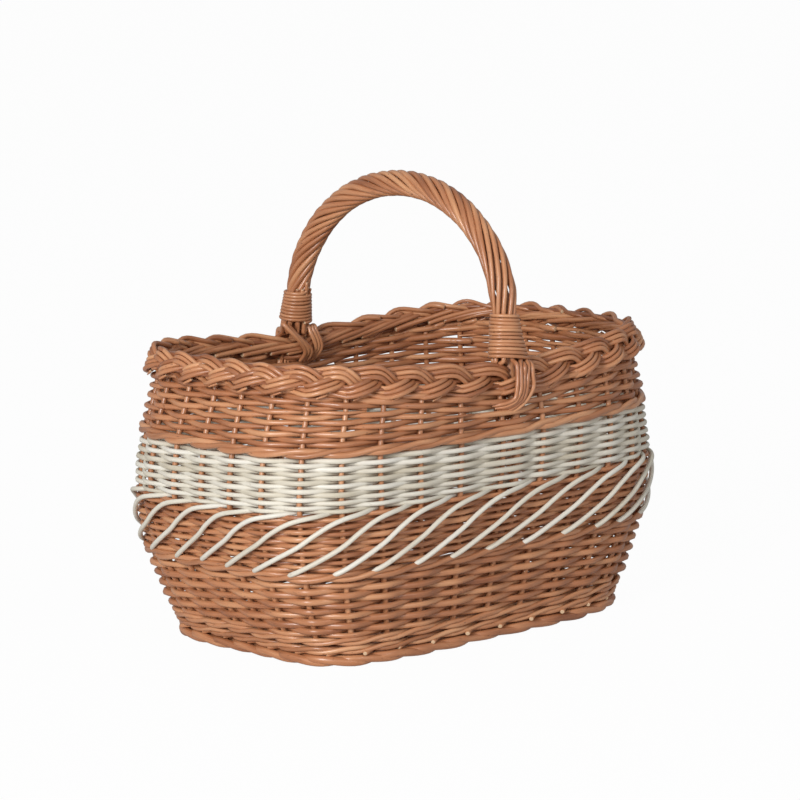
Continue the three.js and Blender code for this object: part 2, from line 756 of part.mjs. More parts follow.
// One flat rod woven to and fro over and under the sticks. Beyond the outermost stick it turns back
// and passes that stick again on its other side.
function baseWeave() {
  const half = baseWeaverThickness / 2;
  const wide = (baseRowPitch - rowGap) / 2;
  const rise = stickRadius + seatGap + half;
  const middleLean = Math.cos(Math.atan2(2 * rise, stickSpacing));
  const edgeLean = Math.cos(Math.atan2(rise, baseTurnReach));
  const alongOf = (rowIndex) => (rowIndex - (baseRowCount - 1) / 2) * baseRowPitch;
  const outermost = (rowIndex) => {
    const here = alongOf(Math.max(rowIndex, 0));
    const next = alongOf(Math.min(rowIndex + 1, baseRowCount - 1));
    const reach = Math.max(Math.abs(here), Math.abs(next)) + wide;
    return Math.max(...stickPlaces.filter((across) => baseHalfLength(across + turnRoom) > reach));
  };
  const rings = [];
  for (let rowIndex = 0; rowIndex < baseRowCount; rowIndex += 1) {
    const along = alongOf(rowIndex);
    const heading = rowIndex % 2 === 0 ? 1 : -1;
    const first = -heading * outermost(rowIndex - 1);
    const last = heading * outermost(rowIndex);
    const crossed = stickPlaces
      .filter((across) => across >= Math.min(first, last) && across <= Math.max(first, last))
      .sort((one, other) => heading * (one - other));
    crossed.forEach((across) => {
      const isEdge = across === first || across === last;
      const lift = (stickRadius + seatGap) / (isEdge ? edgeLean : middleLean) + half;
      const over = (stickPlaces.indexOf(across) + rowIndex) % 2 === 0 ? 1 : -1;
      const centre = new THREE.Vector3(along, across, baseHeight + over * lift);
      rings.push(baseRing(centre, new THREE.Vector3(heading, 0, 0), wide, half));
    });
    if (rowIndex < baseRowCount - 1) {
      const edge = last + heading * (baseTurnReach + half);
      const centre = new THREE.Vector3(along + baseRowPitch / 2, edge, baseHeight);
      rings.push(baseRing(centre, new THREE.Vector3(0, -heading, 0), half, half));
    }
  }
  return tubeGeometry(rings);
}

function baseRing(centre, side, wide, half) {
  return [
    centre.clone().addScaledVector(zAxis, half),
    centre.clone().addScaledVector(side, wide),
    centre.clone().addScaledVector(zAxis, -half),
    centre.clone().addScaledVector(side, -wide),
  ];
}

const basket = new THREE.Group();

function addPiece(name, geometry, finish) {
  const piece = new THREE.Mesh(geometry, new THREE.MeshStandardMaterial(finish));
  piece.name = name;
  basket.add(piece);
}

function twoDigits(number) {
  return String(number).padStart(2, '0');
}

stickPlaces.forEach((across, i) => addPiece(`base_stick_${i + 1}`, baseStick(across), brownWillow));
addPiece('base_weave', baseWeave(), paleWillow);
addPiece('foot_wale_lower', tubeGeometry(footLowerRings, true), brownWillow);
addPiece('foot_wale_upper', tubeGeometry(footUpperRings, true), paleWillow);
angles.forEach((angle, i) => addPiece(`stake_${twoDigits(i + 1)}`, stakeGeometry(angle), paleWillow));
addPiece(
  'upsett_wale',
  tubeGeometry(waleRings(footTop, upsettTop, upsettThickness, 2, false), true),
  paleWillow,
);
addPiece(
  'lower_weave',
  spiralWeave(upsettTop, lowerWeaveHeight, lowerWeaveRows, weaverThickness),
  brownWillow,
);
addPiece(
  'lower_wale',
  tubeGeometry(waleRings(lowerWaleBottom, lowerWaleTop, waleThickness, 2, false), true),
  paleWillow,
);
addPiece(
  'fine_weave',
  spiralWeave(lowerWaleTop, fineWeaveHeight, fineWeaveRows, weaverThickness),
  brownWillow,
);
addPiece('white_tail_rods', whiteTailRods(), whiteWillow);
addPiece(
  'white_band',
  spiralWeave(whiteBandBottom, whiteBandHeight, whiteBandRows, weaverThickness),
  whiteWillow,
);
addPiece(
  'upper_wale',
  tubeGeometry(waleRings(whiteBandTop, upperWaleTop, waleThickness, 0, false), true),
  paleWillow,
);
addPiece(
  'upper_weave',
  spiralWeave(upperWaleTop, upperWeaveHeight, upperWeaveRows, weaverThickness),
  brownWillow,
);
for (let strand = 0; strand < 3; strand += 1) {
  addPiece(`border_strand_${strand + 1}`, borderStrand(strand), brownWillow);
}
addPiece('handle_bow', handleBow(), paleWillow);
for (let bundle = 0; bundle < bundleCount; bundle += 1) {
  addPiece(`handle_bundle_${bundle + 1}`, handleBundle(bundle), brownWillow);
}
addPiece('near_binding', bindingGeometry(-1), paleWillow);
addPiece('far_binding', bindingGeometry(1), paleWillow);

export default basket;
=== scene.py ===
"""A willow foraging basket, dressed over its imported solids.

Lengths are written in millimetres and turned into metres when a mesh is made. Z points up, X runs
along the basket and Y across it. A place on the wall is counted in gaps between two uprights, from the
+X end counter-clockwise, and a level is a height beside the handle.
"""

import logging
import math
from dataclasses import dataclass, field
from enum import Enum
from functools import cached_property

import bpy
import numpy as np
from mathutils import Matrix, Vector


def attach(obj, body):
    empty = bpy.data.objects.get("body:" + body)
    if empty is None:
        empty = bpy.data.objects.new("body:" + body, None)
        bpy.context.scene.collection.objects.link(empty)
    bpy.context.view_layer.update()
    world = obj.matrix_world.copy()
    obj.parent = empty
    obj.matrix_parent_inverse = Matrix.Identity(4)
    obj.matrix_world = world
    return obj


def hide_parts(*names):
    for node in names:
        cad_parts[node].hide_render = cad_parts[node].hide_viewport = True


logging.basicConfig(level=logging.INFO, format="%(message)s")
log = logging.getLogger("basket")

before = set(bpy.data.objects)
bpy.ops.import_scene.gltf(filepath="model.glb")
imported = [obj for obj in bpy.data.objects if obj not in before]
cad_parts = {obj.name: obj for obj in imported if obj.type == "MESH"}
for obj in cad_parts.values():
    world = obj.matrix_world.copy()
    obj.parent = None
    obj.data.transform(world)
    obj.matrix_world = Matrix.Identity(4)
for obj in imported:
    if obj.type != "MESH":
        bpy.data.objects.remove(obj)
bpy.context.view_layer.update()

MM = 0.001
FULL_TURN = 2.0 * math.pi
UP = np.array([0.0, 0.0, 1.0])
ALONG_X = np.array([1.0, 0.0, 0.0])
RIM_LEVEL = 213.2


class Side(Enum):
    """The side of the wall on which a rod passes an upright."""

    OUTSIDE = 1.0
    INSIDE = -1.0


class Foot(Enum):
    """The two ends of the handle, by the side of the basket on which they stand."""

    NEAR = -1.0
    FAR = 1.0


# Shapes worked out as whole arrays


def eased(
    anchors: np.ndarray, values: np.ndarray, where: np.ndarray, straight: float = 0.0
) -> np.ndarray:
    """Values that rest at each anchor and ease over to the next by half a cosine wave.

    Args:
        anchors: Rising places of the anchors.
        values: Value at each anchor.
        where: Places to work out.
        straight: How far the wave is drawn towards a straight line, from 0 to 1.

    Returns:
        v0 + (v1 - v0) s, where t runs from 0 to 1 between two anchors and s is a mix of t and
        (1 - cos(pi t)) / 2.
    """
    k = np.clip(np.searchsorted(anchors, where, side="right") - 1, 0, len(anchors) - 2)
    t = np.clip((where - anchors[k]) / (anchors[k + 1] - anchors[k]), 0.0, 1.0)
    share = straight * t + (1.0 - straight) * (1.0 - np.cos(math.pi * t)) / 2.0
    return values[k] + (values[k + 1] - values[k]) * share


def step_beyond(start: float, reach: tuple[float, float], where: np.ndarray) -> np.ndarray:
    """The smooth step that runs from one distance beyond a start to another."""
    return step_up(start + reach[0], start + reach[1], where)


def step_up(low: float, high: float, where: np.ndarray) -> np.ndarray:
    """A smooth step, 3 t^2 - 2 t^3, that is 0 below low and 1 above high.

    Args:
        low: Where the step starts.
        high: Where it ends.
        where: Places to work out.

    Returns:
        The height of the step at each place.
    """
    t = np.clip((where - low) / (high - low), 0.0, 1.0)
    return t * t * (3.0 - 2.0 * t)


def tucked(place: np.ndarray, length: float) -> np.ndarray:
    """How far a rod is tucked away at each place: 1 at its two tips, easing to 0 over a length."""
    return step_up(length, 0.0, place - place[0]) + step_up(length, 0.0, place[-1] - place)


def unit(vectors: np.ndarray) -> np.ndarray:
    """Vectors scaled to length 1, along the last axis."""
    return vectors / np.maximum(np.linalg.norm(vectors, axis=-1, keepdims=True), 1e-9)


def distances(points: np.ndarray) -> np.ndarray:
    """How far each point of a path lies from its first point, along the path."""
    steps = np.linalg.norm(np.diff(points, axis=0), axis=1)
    return np.concatenate([[0.0], np.cumsum(steps)])


def resampled(where: np.ndarray, arc: np.ndarray, vectors: np.ndarray) -> np.ndarray:
    """Vectors that are known at some distances along a path, worked out at others.

    Args:
        where: Distances to work out.
        arc: Rising distances at which the vectors are known.
        vectors: The vectors there, one a row.

    Returns:
        One vector a row, on the straight line between the two known ones.
    """
    return np.stack([np.interp(where, arc, vectors[:, axis]) for axis in range(3)], axis=-1)


def through(points: np.ndarray, count: int) -> np.ndarray:
    """A smooth curve through points, one cubic from each to the next.

    Args:
        points: The points to pass, one a row.
        count: How many places the curve gets.

    Returns:
        Places spread evenly over the stretches between the points. Each stretch is the cubic whose
        slope at both its ends is half the chord between the neighbours on either side.
    """
    last = len(points) - 1
    padded = np.vstack([2 * points[0] - points[1], points, 2 * points[last] - points[last - 1]])
    at = np.linspace(0.0, last, count)
    k = np.minimum(at.astype(int), last - 1)
    t = (at - k)[:, None]
    p0, p1, p2, p3 = padded[k], padded[k + 1], padded[k + 2], padded[k + 3]
    straight = 2 * p1 + (p2 - p0) * t
    curved = (2 * p0 - 5 * p1 + 4 * p2 - p3) * t**2 + (3 * p1 - p0 - 3 * p2 + p3) * t**3
    return (straight + curved) / 2.0


@dataclass
class Waver:
    """A smooth wander for rods that are never quite straight or even: a sum of a few slow sines."""

    seed: int
    waves: int = 7
    slowest: float = 0.05
    fastest: float = 0.9

    @cached_property
    def _parts(self) -> tuple[np.ndarray, np.ndarray, np.ndarray]:
        """How strong, how quick and how far along each sine is."""
        chance = np.random.default_rng(self.seed)
        rates = np.geomspace(self.slowest, self.fastest, self.waves) * chance.uniform(0.8, 1.25, self.waves)
        sizes = 1.0 / np.arange(1, self.waves + 1) ** 0.5
        return sizes / sizes.sum(), rates, chance.uniform(0.0, FULL_TURN, self.waves)

    def at(self, where: np.ndarray) -> np.ndarray:
        """Values between about -1 and 1 at the given places."""
        sizes, rates, starts = self._parts
        return np.sin(FULL_TURN * where[:, None] * rates + starts) @ sizes * 1.6


@dataclass
class Rods:
    """Collects rods, each a round or oval section carried along a path, and makes one mesh of them."""

    sides: int = 8
    cut_reach: float = 0.3
    cut_width: float = 0.72
    cut_uv: float = 0.002
    vertices: list[np.ndarray] = field(default_factory=list)
    quads: list[np.ndarray] = field(default_factory=list)
    quad_uvs: list[np.ndarray] = field(default_factory=list)
    caps: list[np.ndarray] = field(default_factory=list)
    tones: list[np.ndarray] = field(default_factory=list)
    cuts: list[np.ndarray] = field(default_factory=list)
    total: int = 0

    @property
    def _turn(self) -> np.ndarray:
        """Angles of a ring's corners."""
        return FULL_TURN * np.arange(self.sides) / self.sides

    def _with_cuts(self, halves: np.ndarray) -> np.ndarray:
        """Half thicknesses with those of the narrower rings beyond the two ends."""
        return np.concatenate([[halves[0] * self.cut_width], halves, [halves[-1] * self.cut_width]])

    def _uvs(self, centres: np.ndarray, stretches: int) -> np.ndarray:
        """Metres along the rod and the share of a turn round it, at the corners of its faces.

        Args:
            centres: The middle of each ring.
            stretches: How many stretches of faces the rod has between rings.

        Returns:
            Four pairs for each face.
        """
        steps = np.linalg.norm(np.roll(centres, -1, axis=0) - centres, axis=1)
        along = np.concatenate([[0.0], np.cumsum(steps)]) * MM
        shape = (stretches, self.sides)
        u0 = np.broadcast_to(along[:stretches, None], shape)
        u1 = np.broadcast_to(along[1 : stretches + 1, None], shape)
        v0 = np.broadcast_to(np.arange(self.sides) / self.sides, shape)
        v1 = v0 + 1.0 / self.sides
        return np.stack([u0, v0, u0, v1, u1, v1, u1, v0], axis=-1).reshape(-1, 2)

    def add(
        self,
        centres: np.ndarray,
        outward: np.ndarray,
        half_out: np.ndarray | float,
        half_up: np.ndarray | float,
        tone: float,
        looped: bool = False,
    ) -> None:
        """Adds one rod.

        Ring i has its corners at centre + N a cos(q) + B b sin(q), where N is the outward direction
        made square to the path, B is square to both, a and b are the half thicknesses and q goes round
        in equal steps. An open rod gets a narrower ring and a flat cut beyond each end.

        Args:
            centres: Places along the middle of the rod.
            outward: A direction at each place, roughly square to the path.
            half_out: Half thickness along that direction, at each place or for all.
            half_up: Half thickness square to it.
            tone: The rod's own shade, from 0 to 1; below 0 holds it near the finish's darkest colour, as
                painted shade for a rod that lies in the dark.
            looped: Whether the last place joins the first.
        """
        count = len(centres)
        half_out = np.broadcast_to(half_out, count).astype(float)
        half_up = np.broadcast_to(half_up, count).astype(float)
        if looped:
            run = unit(np.roll(centres, -1, axis=0) - np.roll(centres, 1, axis=0))
        else:
            run = unit(np.gradient(centres, axis=0))
            start = centres[0] - run[0] * half_up[0] * self.cut_reach
            end = centres[-1] + run[-1] * half_up[-1] * self.cut_reach
            centres = np.vstack([start, centres, end])
            run = np.vstack([run[0], run, run[-1]])
            outward = np.vstack([outward[0], outward, outward[-1]])
            half_out = self._with_cuts(half_out)
            half_up = self._with_cuts(half_up)
            count += 2
        normal = unit(outward - run * np.sum(outward * run, axis=1, keepdims=True))
        side = np.cross(run, normal)
        ring = (
            centres[:, None, :]
            + normal[:, None, :] * (half_out[:, None] * np.cos(self._turn))[:, :, None]
            + side[:, None, :] * (half_up[:, None] * np.sin(self._turn))[:, :, None]
        )
        stretches = count if looped else count - 1
        i = np.arange(stretches)[:, None]
        j = np.arange(self.sides)[None, :]
        after_i = (i + 1) % count
        after_j = (j + 1) % self.sides

        def corner(row: np.ndarray, column: np.ndarray) -> np.ndarray:
            """Number of the vertex in a column of a ring."""
            return row * self.sides + column + self.total

        quads = np.stack(
            [corner(i, j), corner(i, after_j), corner(after_i, after_j), corner(after_i, j)], axis=-1
        )
        cut = np.zeros((count, self.sides))
        if not looped:
            cut[[0, -1]] = 1.0
            first = np.arange(self.sides)[::-1] + self.total
            last = np.arange(self.sides) + self.total + (count - 1) * self.sides
            self.caps.extend([first, last])
        self.vertices.append(ring.reshape(-1, 3))
        self.quads.append(quads.reshape(-1, 4))
        self.quad_uvs.append(self._uvs(centres, stretches))
        self.tones.append(np.full(count * self.sides, tone))
        self.cuts.append(cut.ravel())
        self.total += count * self.sides

    def build(self, name: str) -> bpy.types.Object:
        """Makes the mesh object, in metres.

        Args:
            name: The piece's name.

        Returns:
            The object, with the UV map "rod" (metres along, share round) and the attributes "tone"
            and "cut".
        """
        mesh = bpy.data.meshes.new(name)
        quads = np.concatenate(self.quads)
        caps = np.array(self.caps, dtype=int).reshape(-1, self.sides)
        corners = np.concatenate([quads.ravel(), caps.ravel()])
        starts = np.concatenate(
            [np.arange(len(quads)) * 4, len(quads) * 4 + np.arange(len(caps)) * self.sides]
        )
        mesh.vertices.add(self.total)
        mesh.loops.add(len(corners))
        mesh.polygons.add(len(starts))
        mesh.vertices.foreach_set("co", (np.concatenate(self.vertices) * MM).ravel())
        mesh.loops.foreach_set("vertex_index", corners)
        mesh.polygons.foreach_set("loop_start", starts)
        mesh.update(calc_edges=True)
        round_uv = np.stack([self.cut_uv * np.cos(self._turn), 0.5 + 0.5 * np.sin(self._turn)], axis=-1)
        uvs = np.concatenate([np.concatenate(self.quad_uvs), np.tile(round_uv, (len(caps), 1))])
        mesh.uv_layers.new(name="rod").data.foreach_set("uv", uvs.ravel())
        for label, values in (("tone", self.tones), ("cut", self.cuts)):
            mesh.attributes.new(label, "FLOAT", "POINT").data.foreach_set("value", np.concatenate(values))
        smooth = np.ones(len(starts), dtype=bool)
        smooth[len(quads) :] = False
        mesh.polygons.foreach_set("use_smooth", smooth)
        mesh.validate()
        piece = bpy.data.objects.new(name, mesh)
        bpy.context.scene.collection.objects.link(piece)
        return piece


# Finishes


@dataclass(frozen=True)
class Noise:
    """A noise on the rods: how fine it is along a rod and round it, and how rich in detail."""

    along: float
    around: float
    detail: float


class RodPattern:
    """The shader group that all willow shares: what changes along and round a rod."""

    NAME = "willow rod pattern"
    PATCHES = Noise(22.0, 0.25, 2.0)
    STREAKS = Noise(60.0, 2.6, 3.0)
    GRAIN = Noise(260.0, 5.0, 2.0)
    SPOTS = Noise(330.0, 1.6, 0.0)
    SPOTS_FROM = 0.74
    SPOTS_FULL = 0.84
    TONE_SHIFT = 37.0
    TONE_SHARE = 0.42
    PATCH_SHARE = 0.95
    STREAK_SHARE = 0.62
    STREAK_HEIGHT = 0.6
    GRAIN_HEIGHT = 0.4

    @classmethod
    def group(cls) -> bpy.types.ShaderNodeTree:
        """The group, made once.

        Returns:
            A node group with the inputs Streak Size, Patch Size and Speck Amount, and the outputs
            Shade (light to dark along and between rods), Specks (buds and scars), Cut (a sawn or
            clipped end) and Height (fine grain).
        """
        made = bpy.data.node_groups.get(cls.NAME)
        if made:
            return made
        tree = bpy.data.node_groups.new(cls.NAME, "ShaderNodeTree")
        for name, value in (("Streak Size", 1.0), ("Patch Size", 1.0), ("Speck Amount", 0.5)):
            socket = tree.interface.new_socket(name, in_out="INPUT", socket_type="NodeSocketFloat")
            socket.default_value = value
        for name in ("Shade", "Specks", "Cut", "Height"):
            tree.interface.new_socket(name, in_out="OUTPUT", socket_type="NodeSocketFloat")
        nodes, links = tree.nodes, tree.links
        start = nodes.new("NodeGroupInput")
        end = nodes.new("NodeGroupOutput")

        def math_node(
            kind: str, first: bpy.types.NodeSocket, second: bpy.types.NodeSocket | float | None = None
        ) -> bpy.types.NodeSocket:
            """The result of a Math node of one or two values.

            Args:
                kind: What it works out.
                first: The first value.
                second: The second value, if there is one.

            Returns:
                The node's output.
            """
            node = nodes.new("ShaderNodeMath")
            node.operation = kind
            for slot, value in zip(node.inputs, (first, second)):
                if isinstance(value, bpy.types.NodeSocket):
                    links.new(value, slot)
                elif value is not None:
                    slot.default_value = value
            return node.outputs[0]

        uv = nodes.new("ShaderNodeUVMap")
        uv.uv_map = "rod"
        parts = nodes.new("ShaderNodeSeparateXYZ")
        links.new(uv.outputs["UV"], parts.inputs["Vector"])
        angle = math_node("MULTIPLY", parts.outputs["Y"], FULL_TURN)
        across = math_node("COSINE", angle)
        upward = math_node("SINE", angle)
        tone = nodes.new("ShaderNodeAttribute")
        tone.attribute_name = "tone"
        cut = nodes.new("ShaderNodeAttribute")
        cut.attribute_name = "cut"
        shift = math_node("MULTIPLY", tone.outputs["Fac"], cls.TONE_SHIFT)

        def noise(kind: Noise, size: bpy.types.NodeSocket | None = None) -> bpy.types.NodeSocket:
            """A noise without a seam round the rod, which the rod's own tone shifts.

            Args:
                kind: How fine and how rich it is.
                size: How far it is drawn out along the rod.

            Returns:
                The noise's output.
            """
            along = math_node("MULTIPLY", parts.outputs["X"], kind.along)
            if size is not None:
                along = math_node("DIVIDE", along, size)
            joined = nodes.new("ShaderNodeCombineXYZ")
            links.new(along, joined.inputs["X"])
            links.new(math_node("MULTIPLY", across, kind.around), joined.inputs["Y"])
            links.new(math_node("MULTIPLY", upward, kind.around), joined.inputs["Z"])
            node = nodes.new("ShaderNodeTexNoise")
            node.noise_dimensions = "4D"
            node.inputs["Scale"].default_value = 1.0
            node.inputs["Detail"].default_value = kind.detail
            links.new(joined.outputs["Vector"], node.inputs["Vector"])
            links.new(shift, node.inputs["W"])
            return node.outputs["Fac"]

        def about_zero(value: bpy.types.NodeSocket, share: float) -> bpy.types.NodeSocket:
            """A value from 0 to 1 moved down by half, and multiplied."""
            return math_node("MULTIPLY", math_node("SUBTRACT", value, 0.5), share)

        streaks = noise(cls.STREAKS, start.outputs["Streak Size"])
        grain = noise(cls.GRAIN, start.outputs["Streak Size"])
        own = about_zero(tone.outputs["Fac"], cls.TONE_SHARE)
        patch_part = about_zero(noise(cls.PATCHES, start.outputs["Patch Size"]), cls.PATCH_SHARE)
        streak_part = about_zero(streaks, cls.STREAK_SHARE)
        shade = math_node("ADD", math_node("ADD", own, patch_part), math_node("ADD", streak_part, 0.5))
        links.new(shade, end.inputs["Shade"])
        sharp = nodes.new("ShaderNodeMapRange")
        sharp.inputs["From Min"].default_value = cls.SPOTS_FROM
        sharp.inputs["From Max"].default_value = cls.SPOTS_FULL
        links.new(noise(cls.SPOTS), sharp.inputs["Value"])
        specks = math_node("MULTIPLY", sharp.outputs["Result"], start.outputs["Speck Amount"])
        links.new(specks, end.inputs["Specks"])
        links.new(cut.outputs["Fac"], end.inputs["Cut"])
        streak_height = math_node("MULTIPLY", streaks, cls.STREAK_HEIGHT)
        grain_height = math_node("MULTIPLY", grain, cls.GRAIN_HEIGHT)
        links.new(math_node("ADD", streak_height, grain_height), end.inputs["Height"])
        return tree


@dataclass(frozen=True)
class WillowFinish:
    """A finish for willow rods, from its darkest to its lightest shade, with its buds and cut ends."""

    name: str
    slot: str
    dark: tuple[float, float, float]
    middle: tuple[float, float, float]
    light: tuple[float, float, float]
    speck: tuple[float, float, float]
    cut: tuple[float, float, float]
    roughness: float = 0.33
    roughness_up: float = 0.1
    roughness_down: float = 0.08
    gloss: float = 0.65
    speck_amount: float = 0.55
    stops: tuple[float, float, float] = (0.12, 0.5, 0.88)
    relief: float = 0.25
    relief_height: float = 0.0004

    def material(self) -> bpy.types.Material:
        """The finish as a material, made once.

        Returns:
            A Principled material: the shared pattern picks the shade, darkens it at specks, shows pale
            wood on a cut end, and moves the gloss and the fine relief.
        """
        made = bpy.data.materials.get(self.name)
        if made:
            return made
        material = bpy.data.materials.new(self.name)
        material.use_nodes = True
        nodes, links = material.node_tree.nodes, material.node_tree.links
        shader = nodes["Principled BSDF"]
        pattern = nodes.new("ShaderNodeGroup")
        pattern.node_tree = RodPattern.group()
        pattern.inputs["Speck Amount"].default_value = self.speck_amount
        ramp = nodes.new("ShaderNodeValToRGB")
        stops = ramp.color_ramp.elements
        stops[0].position, stops[0].color = self.stops[0], (*self.dark, 1.0)
        stops[1].position, stops[1].color = self.stops[2], (*self.light, 1.0)
        stops.new(self.stops[1]).color = (*self.middle, 1.0)
        links.new(pattern.outputs["Shade"], ramp.inputs["Fac"])
        colour = ramp.outputs["Color"]
        for where, tint in (("Specks", self.speck), ("Cut", self.cut)):
            mix = nodes.new("ShaderNodeMix")
            mix.data_type = "RGBA"
            mix.inputs["B"].default_value = (*tint, 1.0)
            links.new(pattern.outputs[where], mix.inputs["Factor"])
            links.new(colour, mix.inputs["A"])
            colour = mix.outputs["Result"]
        links.new(colour, shader.inputs["Base Color"])
        gloss = nodes.new("ShaderNodeMapRange")
        gloss.inputs["To Min"].default_value = self.roughness + self.roughness_up
        gloss.inputs["To Max"].default_value = self.roughness - self.roughness_down
        links.new(pattern.outputs["Height"], gloss.inputs["Value"])
        links.new(gloss.outputs["Result"], shader.inputs["Roughness"])
        shader.inputs["Specular IOR Level"].default_value = self.gloss
        bump = nodes.new("ShaderNodeBump")
        bump.inputs["Strength"].default_value = self.relief
        bump.inputs["Distance"].default_value = self.relief_height
        links.new(pattern.outputs["Height"], bump.inputs["Height"])
        links.new(bump.outputs["Normal"], shader.inputs["Normal"])
        return material

    def put_on(self, piece: bpy.types.Object) -> None:
        """Gives the finish to a piece."""
        piece.data.materials.append(self.material())


BROWN = WillowFinish(
    name="brown willow",
    slot="brown_willow",
    dark=(0.26, 0.088, 0.035),
    middle=(0.46, 0.188, 0.084),
    light=(0.63, 0.315, 0.155),
    speck=(0.14, 0.052, 0.026),
    cut=(0.60, 0.43, 0.27),
)
PALE = WillowFinish(
    name="pale willow",
    slot="pale_willow",
    dark=(0.31, 0.118, 0.049),
    middle=(0.50, 0.216, 0.10),
    light=(0.66, 0.345, 0.178),
    speck=(0.16, 0.062, 0.03),
    cut=(0.62, 0.45, 0.29),
)
WHITE = WillowFinish(
    name="white willow",
    slot="white_willow",
    dark=(0.53, 0.47, 0.36),
    middle=(0.69, 0.642, 0.545),
    light=(0.76, 0.73, 0.655),
    speck=(0.36, 0.28, 0.19),
    cut=(0.70, 0.66, 0.56),
    roughness=0.46,
    gloss=0.5,
    speck_amount=0.3,
)


# The wall and the uprights


@dataclass
class Wall:
    """The middle surface of the wall and the directions of the uprights."""

    belly_length: float = 434.0
    belly_width: float = 286.0
    half: float = 7.35
    end_rise: float = 18.0
    end_rise_power: float = 1.2
    plus_end_rise_share: float = 0.8
    minus_end_pull: float = 0.028
    stake_count: int = 33
    handle_spread_share: float = 0.148
    corner_spread_share: float = 0.08
    levels: tuple[float, ...] = (0.0, 70.0, 128.4, 168.0, 199.6, RIM_LEVEL)
    length_shares: tuple[float, ...] = (0.79, 0.94, 1.0, 0.985, 0.945, 0.935)
    width_shares: tuple[float, ...] = (0.8, 0.9, 0.972, 1.0, 0.972, 0.962)
    squareness: tuple[float, ...] = (5.0, 4.6, 3.9, 3.4, 3.5, 3.7)
    spread_level: float = 128.4
    rise_from: float = 177.0
    rise_to: float = 199.6
    table_angles: int = 2881
    table_places: int = 3301

    def _value(self, shares: tuple[float, ...], level: np.ndarray) -> np.ndarray:
        """A smooth value between the levels.

        Args:
            shares: Value at each of the levels.
            level: Levels to work out.

        Returns:
            In each stretch the cubic whose slopes at its two ends are those of the chords beside it.
        """
        z = np.array(self.levels)
        s = np.array(shares)
        last = len(z) - 1
        before = np.maximum(np.arange(last + 1) - 1, 0)
        after = np.minimum(np.arange(last + 1) + 1, last)
        slope = (s[after] - s[before]) / (z[after] - z[before])
        k = np.clip(np.searchsorted(z, level, side="right") - 1, 0, last - 1)
        span = z[k + 1] - z[k]
        t = np.clip((level - z[k]) / span, 0.0, 1.0)
        rise = t * t * (3 - 2 * t)
        pulls = t * (1 - t) ** 2 * span * slope[k] - t * t * (1 - t) * span * slope[k + 1]
        return s[k] + (s[k + 1] - s[k]) * rise + pulls

    def _oval(self, angle: np.ndarray, level: np.ndarray) -> tuple[np.ndarray, ...]:
        """The superellipse |x/a|^p + |y/b|^p = 1 of a level.

        Args:
            angle: Directions from +X, counter-clockwise.
            level: Heights beside the handle.

        Returns:
            a, b, p and the radius in each direction.
        """
        a = self.belly_length / 2 * self._value(self.length_shares, level) - self.half
        b = self.belly_width / 2 * self._value(self.width_shares, level) - self.half
        p = self._value(self.squareness, level)
        c, s = np.abs(np.cos(angle)), np.abs(np.sin(angle))
        return a, b, p, ((c / a) ** p + (s / b) ** p) ** (-1 / p)

    def by_angle(self, angle: np.ndarray, level: np.ndarray) -> tuple[np.ndarray, np.ndarray]:
        """Points and outward normals in fixed directions seen from above.

        Each level is a superellipse, and its normal is that curve's gradient. Above the upper wale the
        height grows with |x/a| to a power, and the -X end is drawn in a little.

        Args:
            angle: Directions from +X, counter-clockwise.
            level: Heights beside the handle.

        Returns:
            Points and unit normals.
        """
        angle, level = np.broadcast_arrays(angle, level)
        a, b, p, radius = self._oval(angle, level)
        c, s = np.cos(angle), np.sin(angle)
        x, y = radius * c, radius * s
        pull = self.minus_end_pull * step_up(self.rise_from, self.rise_to, level)
        x = np.where(x < 0.0, x * (1.0 - pull), x)
        slope_x = np.sign(c) * (np.abs(x) / a) ** (p - 1) / a
        slope_y = np.sign(s) * (np.abs(y) / b) ** (p - 1) / b
        normal = unit(np.stack([slope_x, slope_y, np.zeros_like(slope_x)], axis=-1))
        return np.stack([x, y, level + self.rise_at(angle, level)], axis=-1), normal

    def rise_at(self, angle: np.ndarray, level: np.ndarray) -> np.ndarray:
        """How much higher than its level the wall stands in a direction."""
        a, _, _, radius = self._oval(angle, np.full_like(angle, self.rise_to))
        c = np.cos(angle)
        share = np.clip((level - self.rise_from) / (self.rise_to - self.rise_from), 0.0, 1.0)
        rise = np.where(c > 0.0, self.end_rise * self.plus_end_rise_share, self.end_rise)
        return rise * share * (np.abs(radius * c) / a) ** self.end_rise_power

    def level_of(self, angle: np.ndarray, height: np.ndarray) -> np.ndarray:
        """The level at which the wall stands at a height in a direction, which undoes its rise."""
        rise = self.rise_at(angle, np.full_like(angle, self.rise_to))
        band = self.rise_to - self.rise_from
        spread = self.rise_from + (height - self.rise_from) * band / (band + rise)
        return np.where(height < self.rise_from, height, np.maximum(spread, height - rise))

    @cached_property
    def _table(self) -> tuple[np.ndarray, np.ndarray]:
        """Places round the wall, half a gap to either side of the stakes, and their directions."""
        angle = np.linspace(0.0, FULL_TURN, self.table_angles)
        points, _ = self.by_angle(angle, np.full_like(angle, self.spread_level))
        arc = distances(points)
        place = np.linspace(0.0, self.stake_count, self.table_places) - 0.5
        phase = FULL_TURN * (place + 0.5) / self.stake_count
        target = (
            phase
            - self.handle_spread_share / 2 * np.sin(2 * phase)
            + self.corner_spread_share / 4 * np.sin(4 * phase)
        )
        return place, np.interp(target / FULL_TURN * arc[-1], arc, angle)

    def angle_at(self, place: np.ndarray) -> np.ndarray:
        """Direction at each place, which is counted in gaps and may run over many turns."""
        places, angles = self._table
        turns = np.floor((place + 0.5) / self.stake_count)
        return np.interp(place - turns * self.stake_count, places, angles) + FULL_TURN * turns

    def place_of(self, angle: float) -> float:
        """The place that lies in a direction between 0 and a full turn."""
        places, angles = self._table
        return float(np.interp(angle, angles, places))

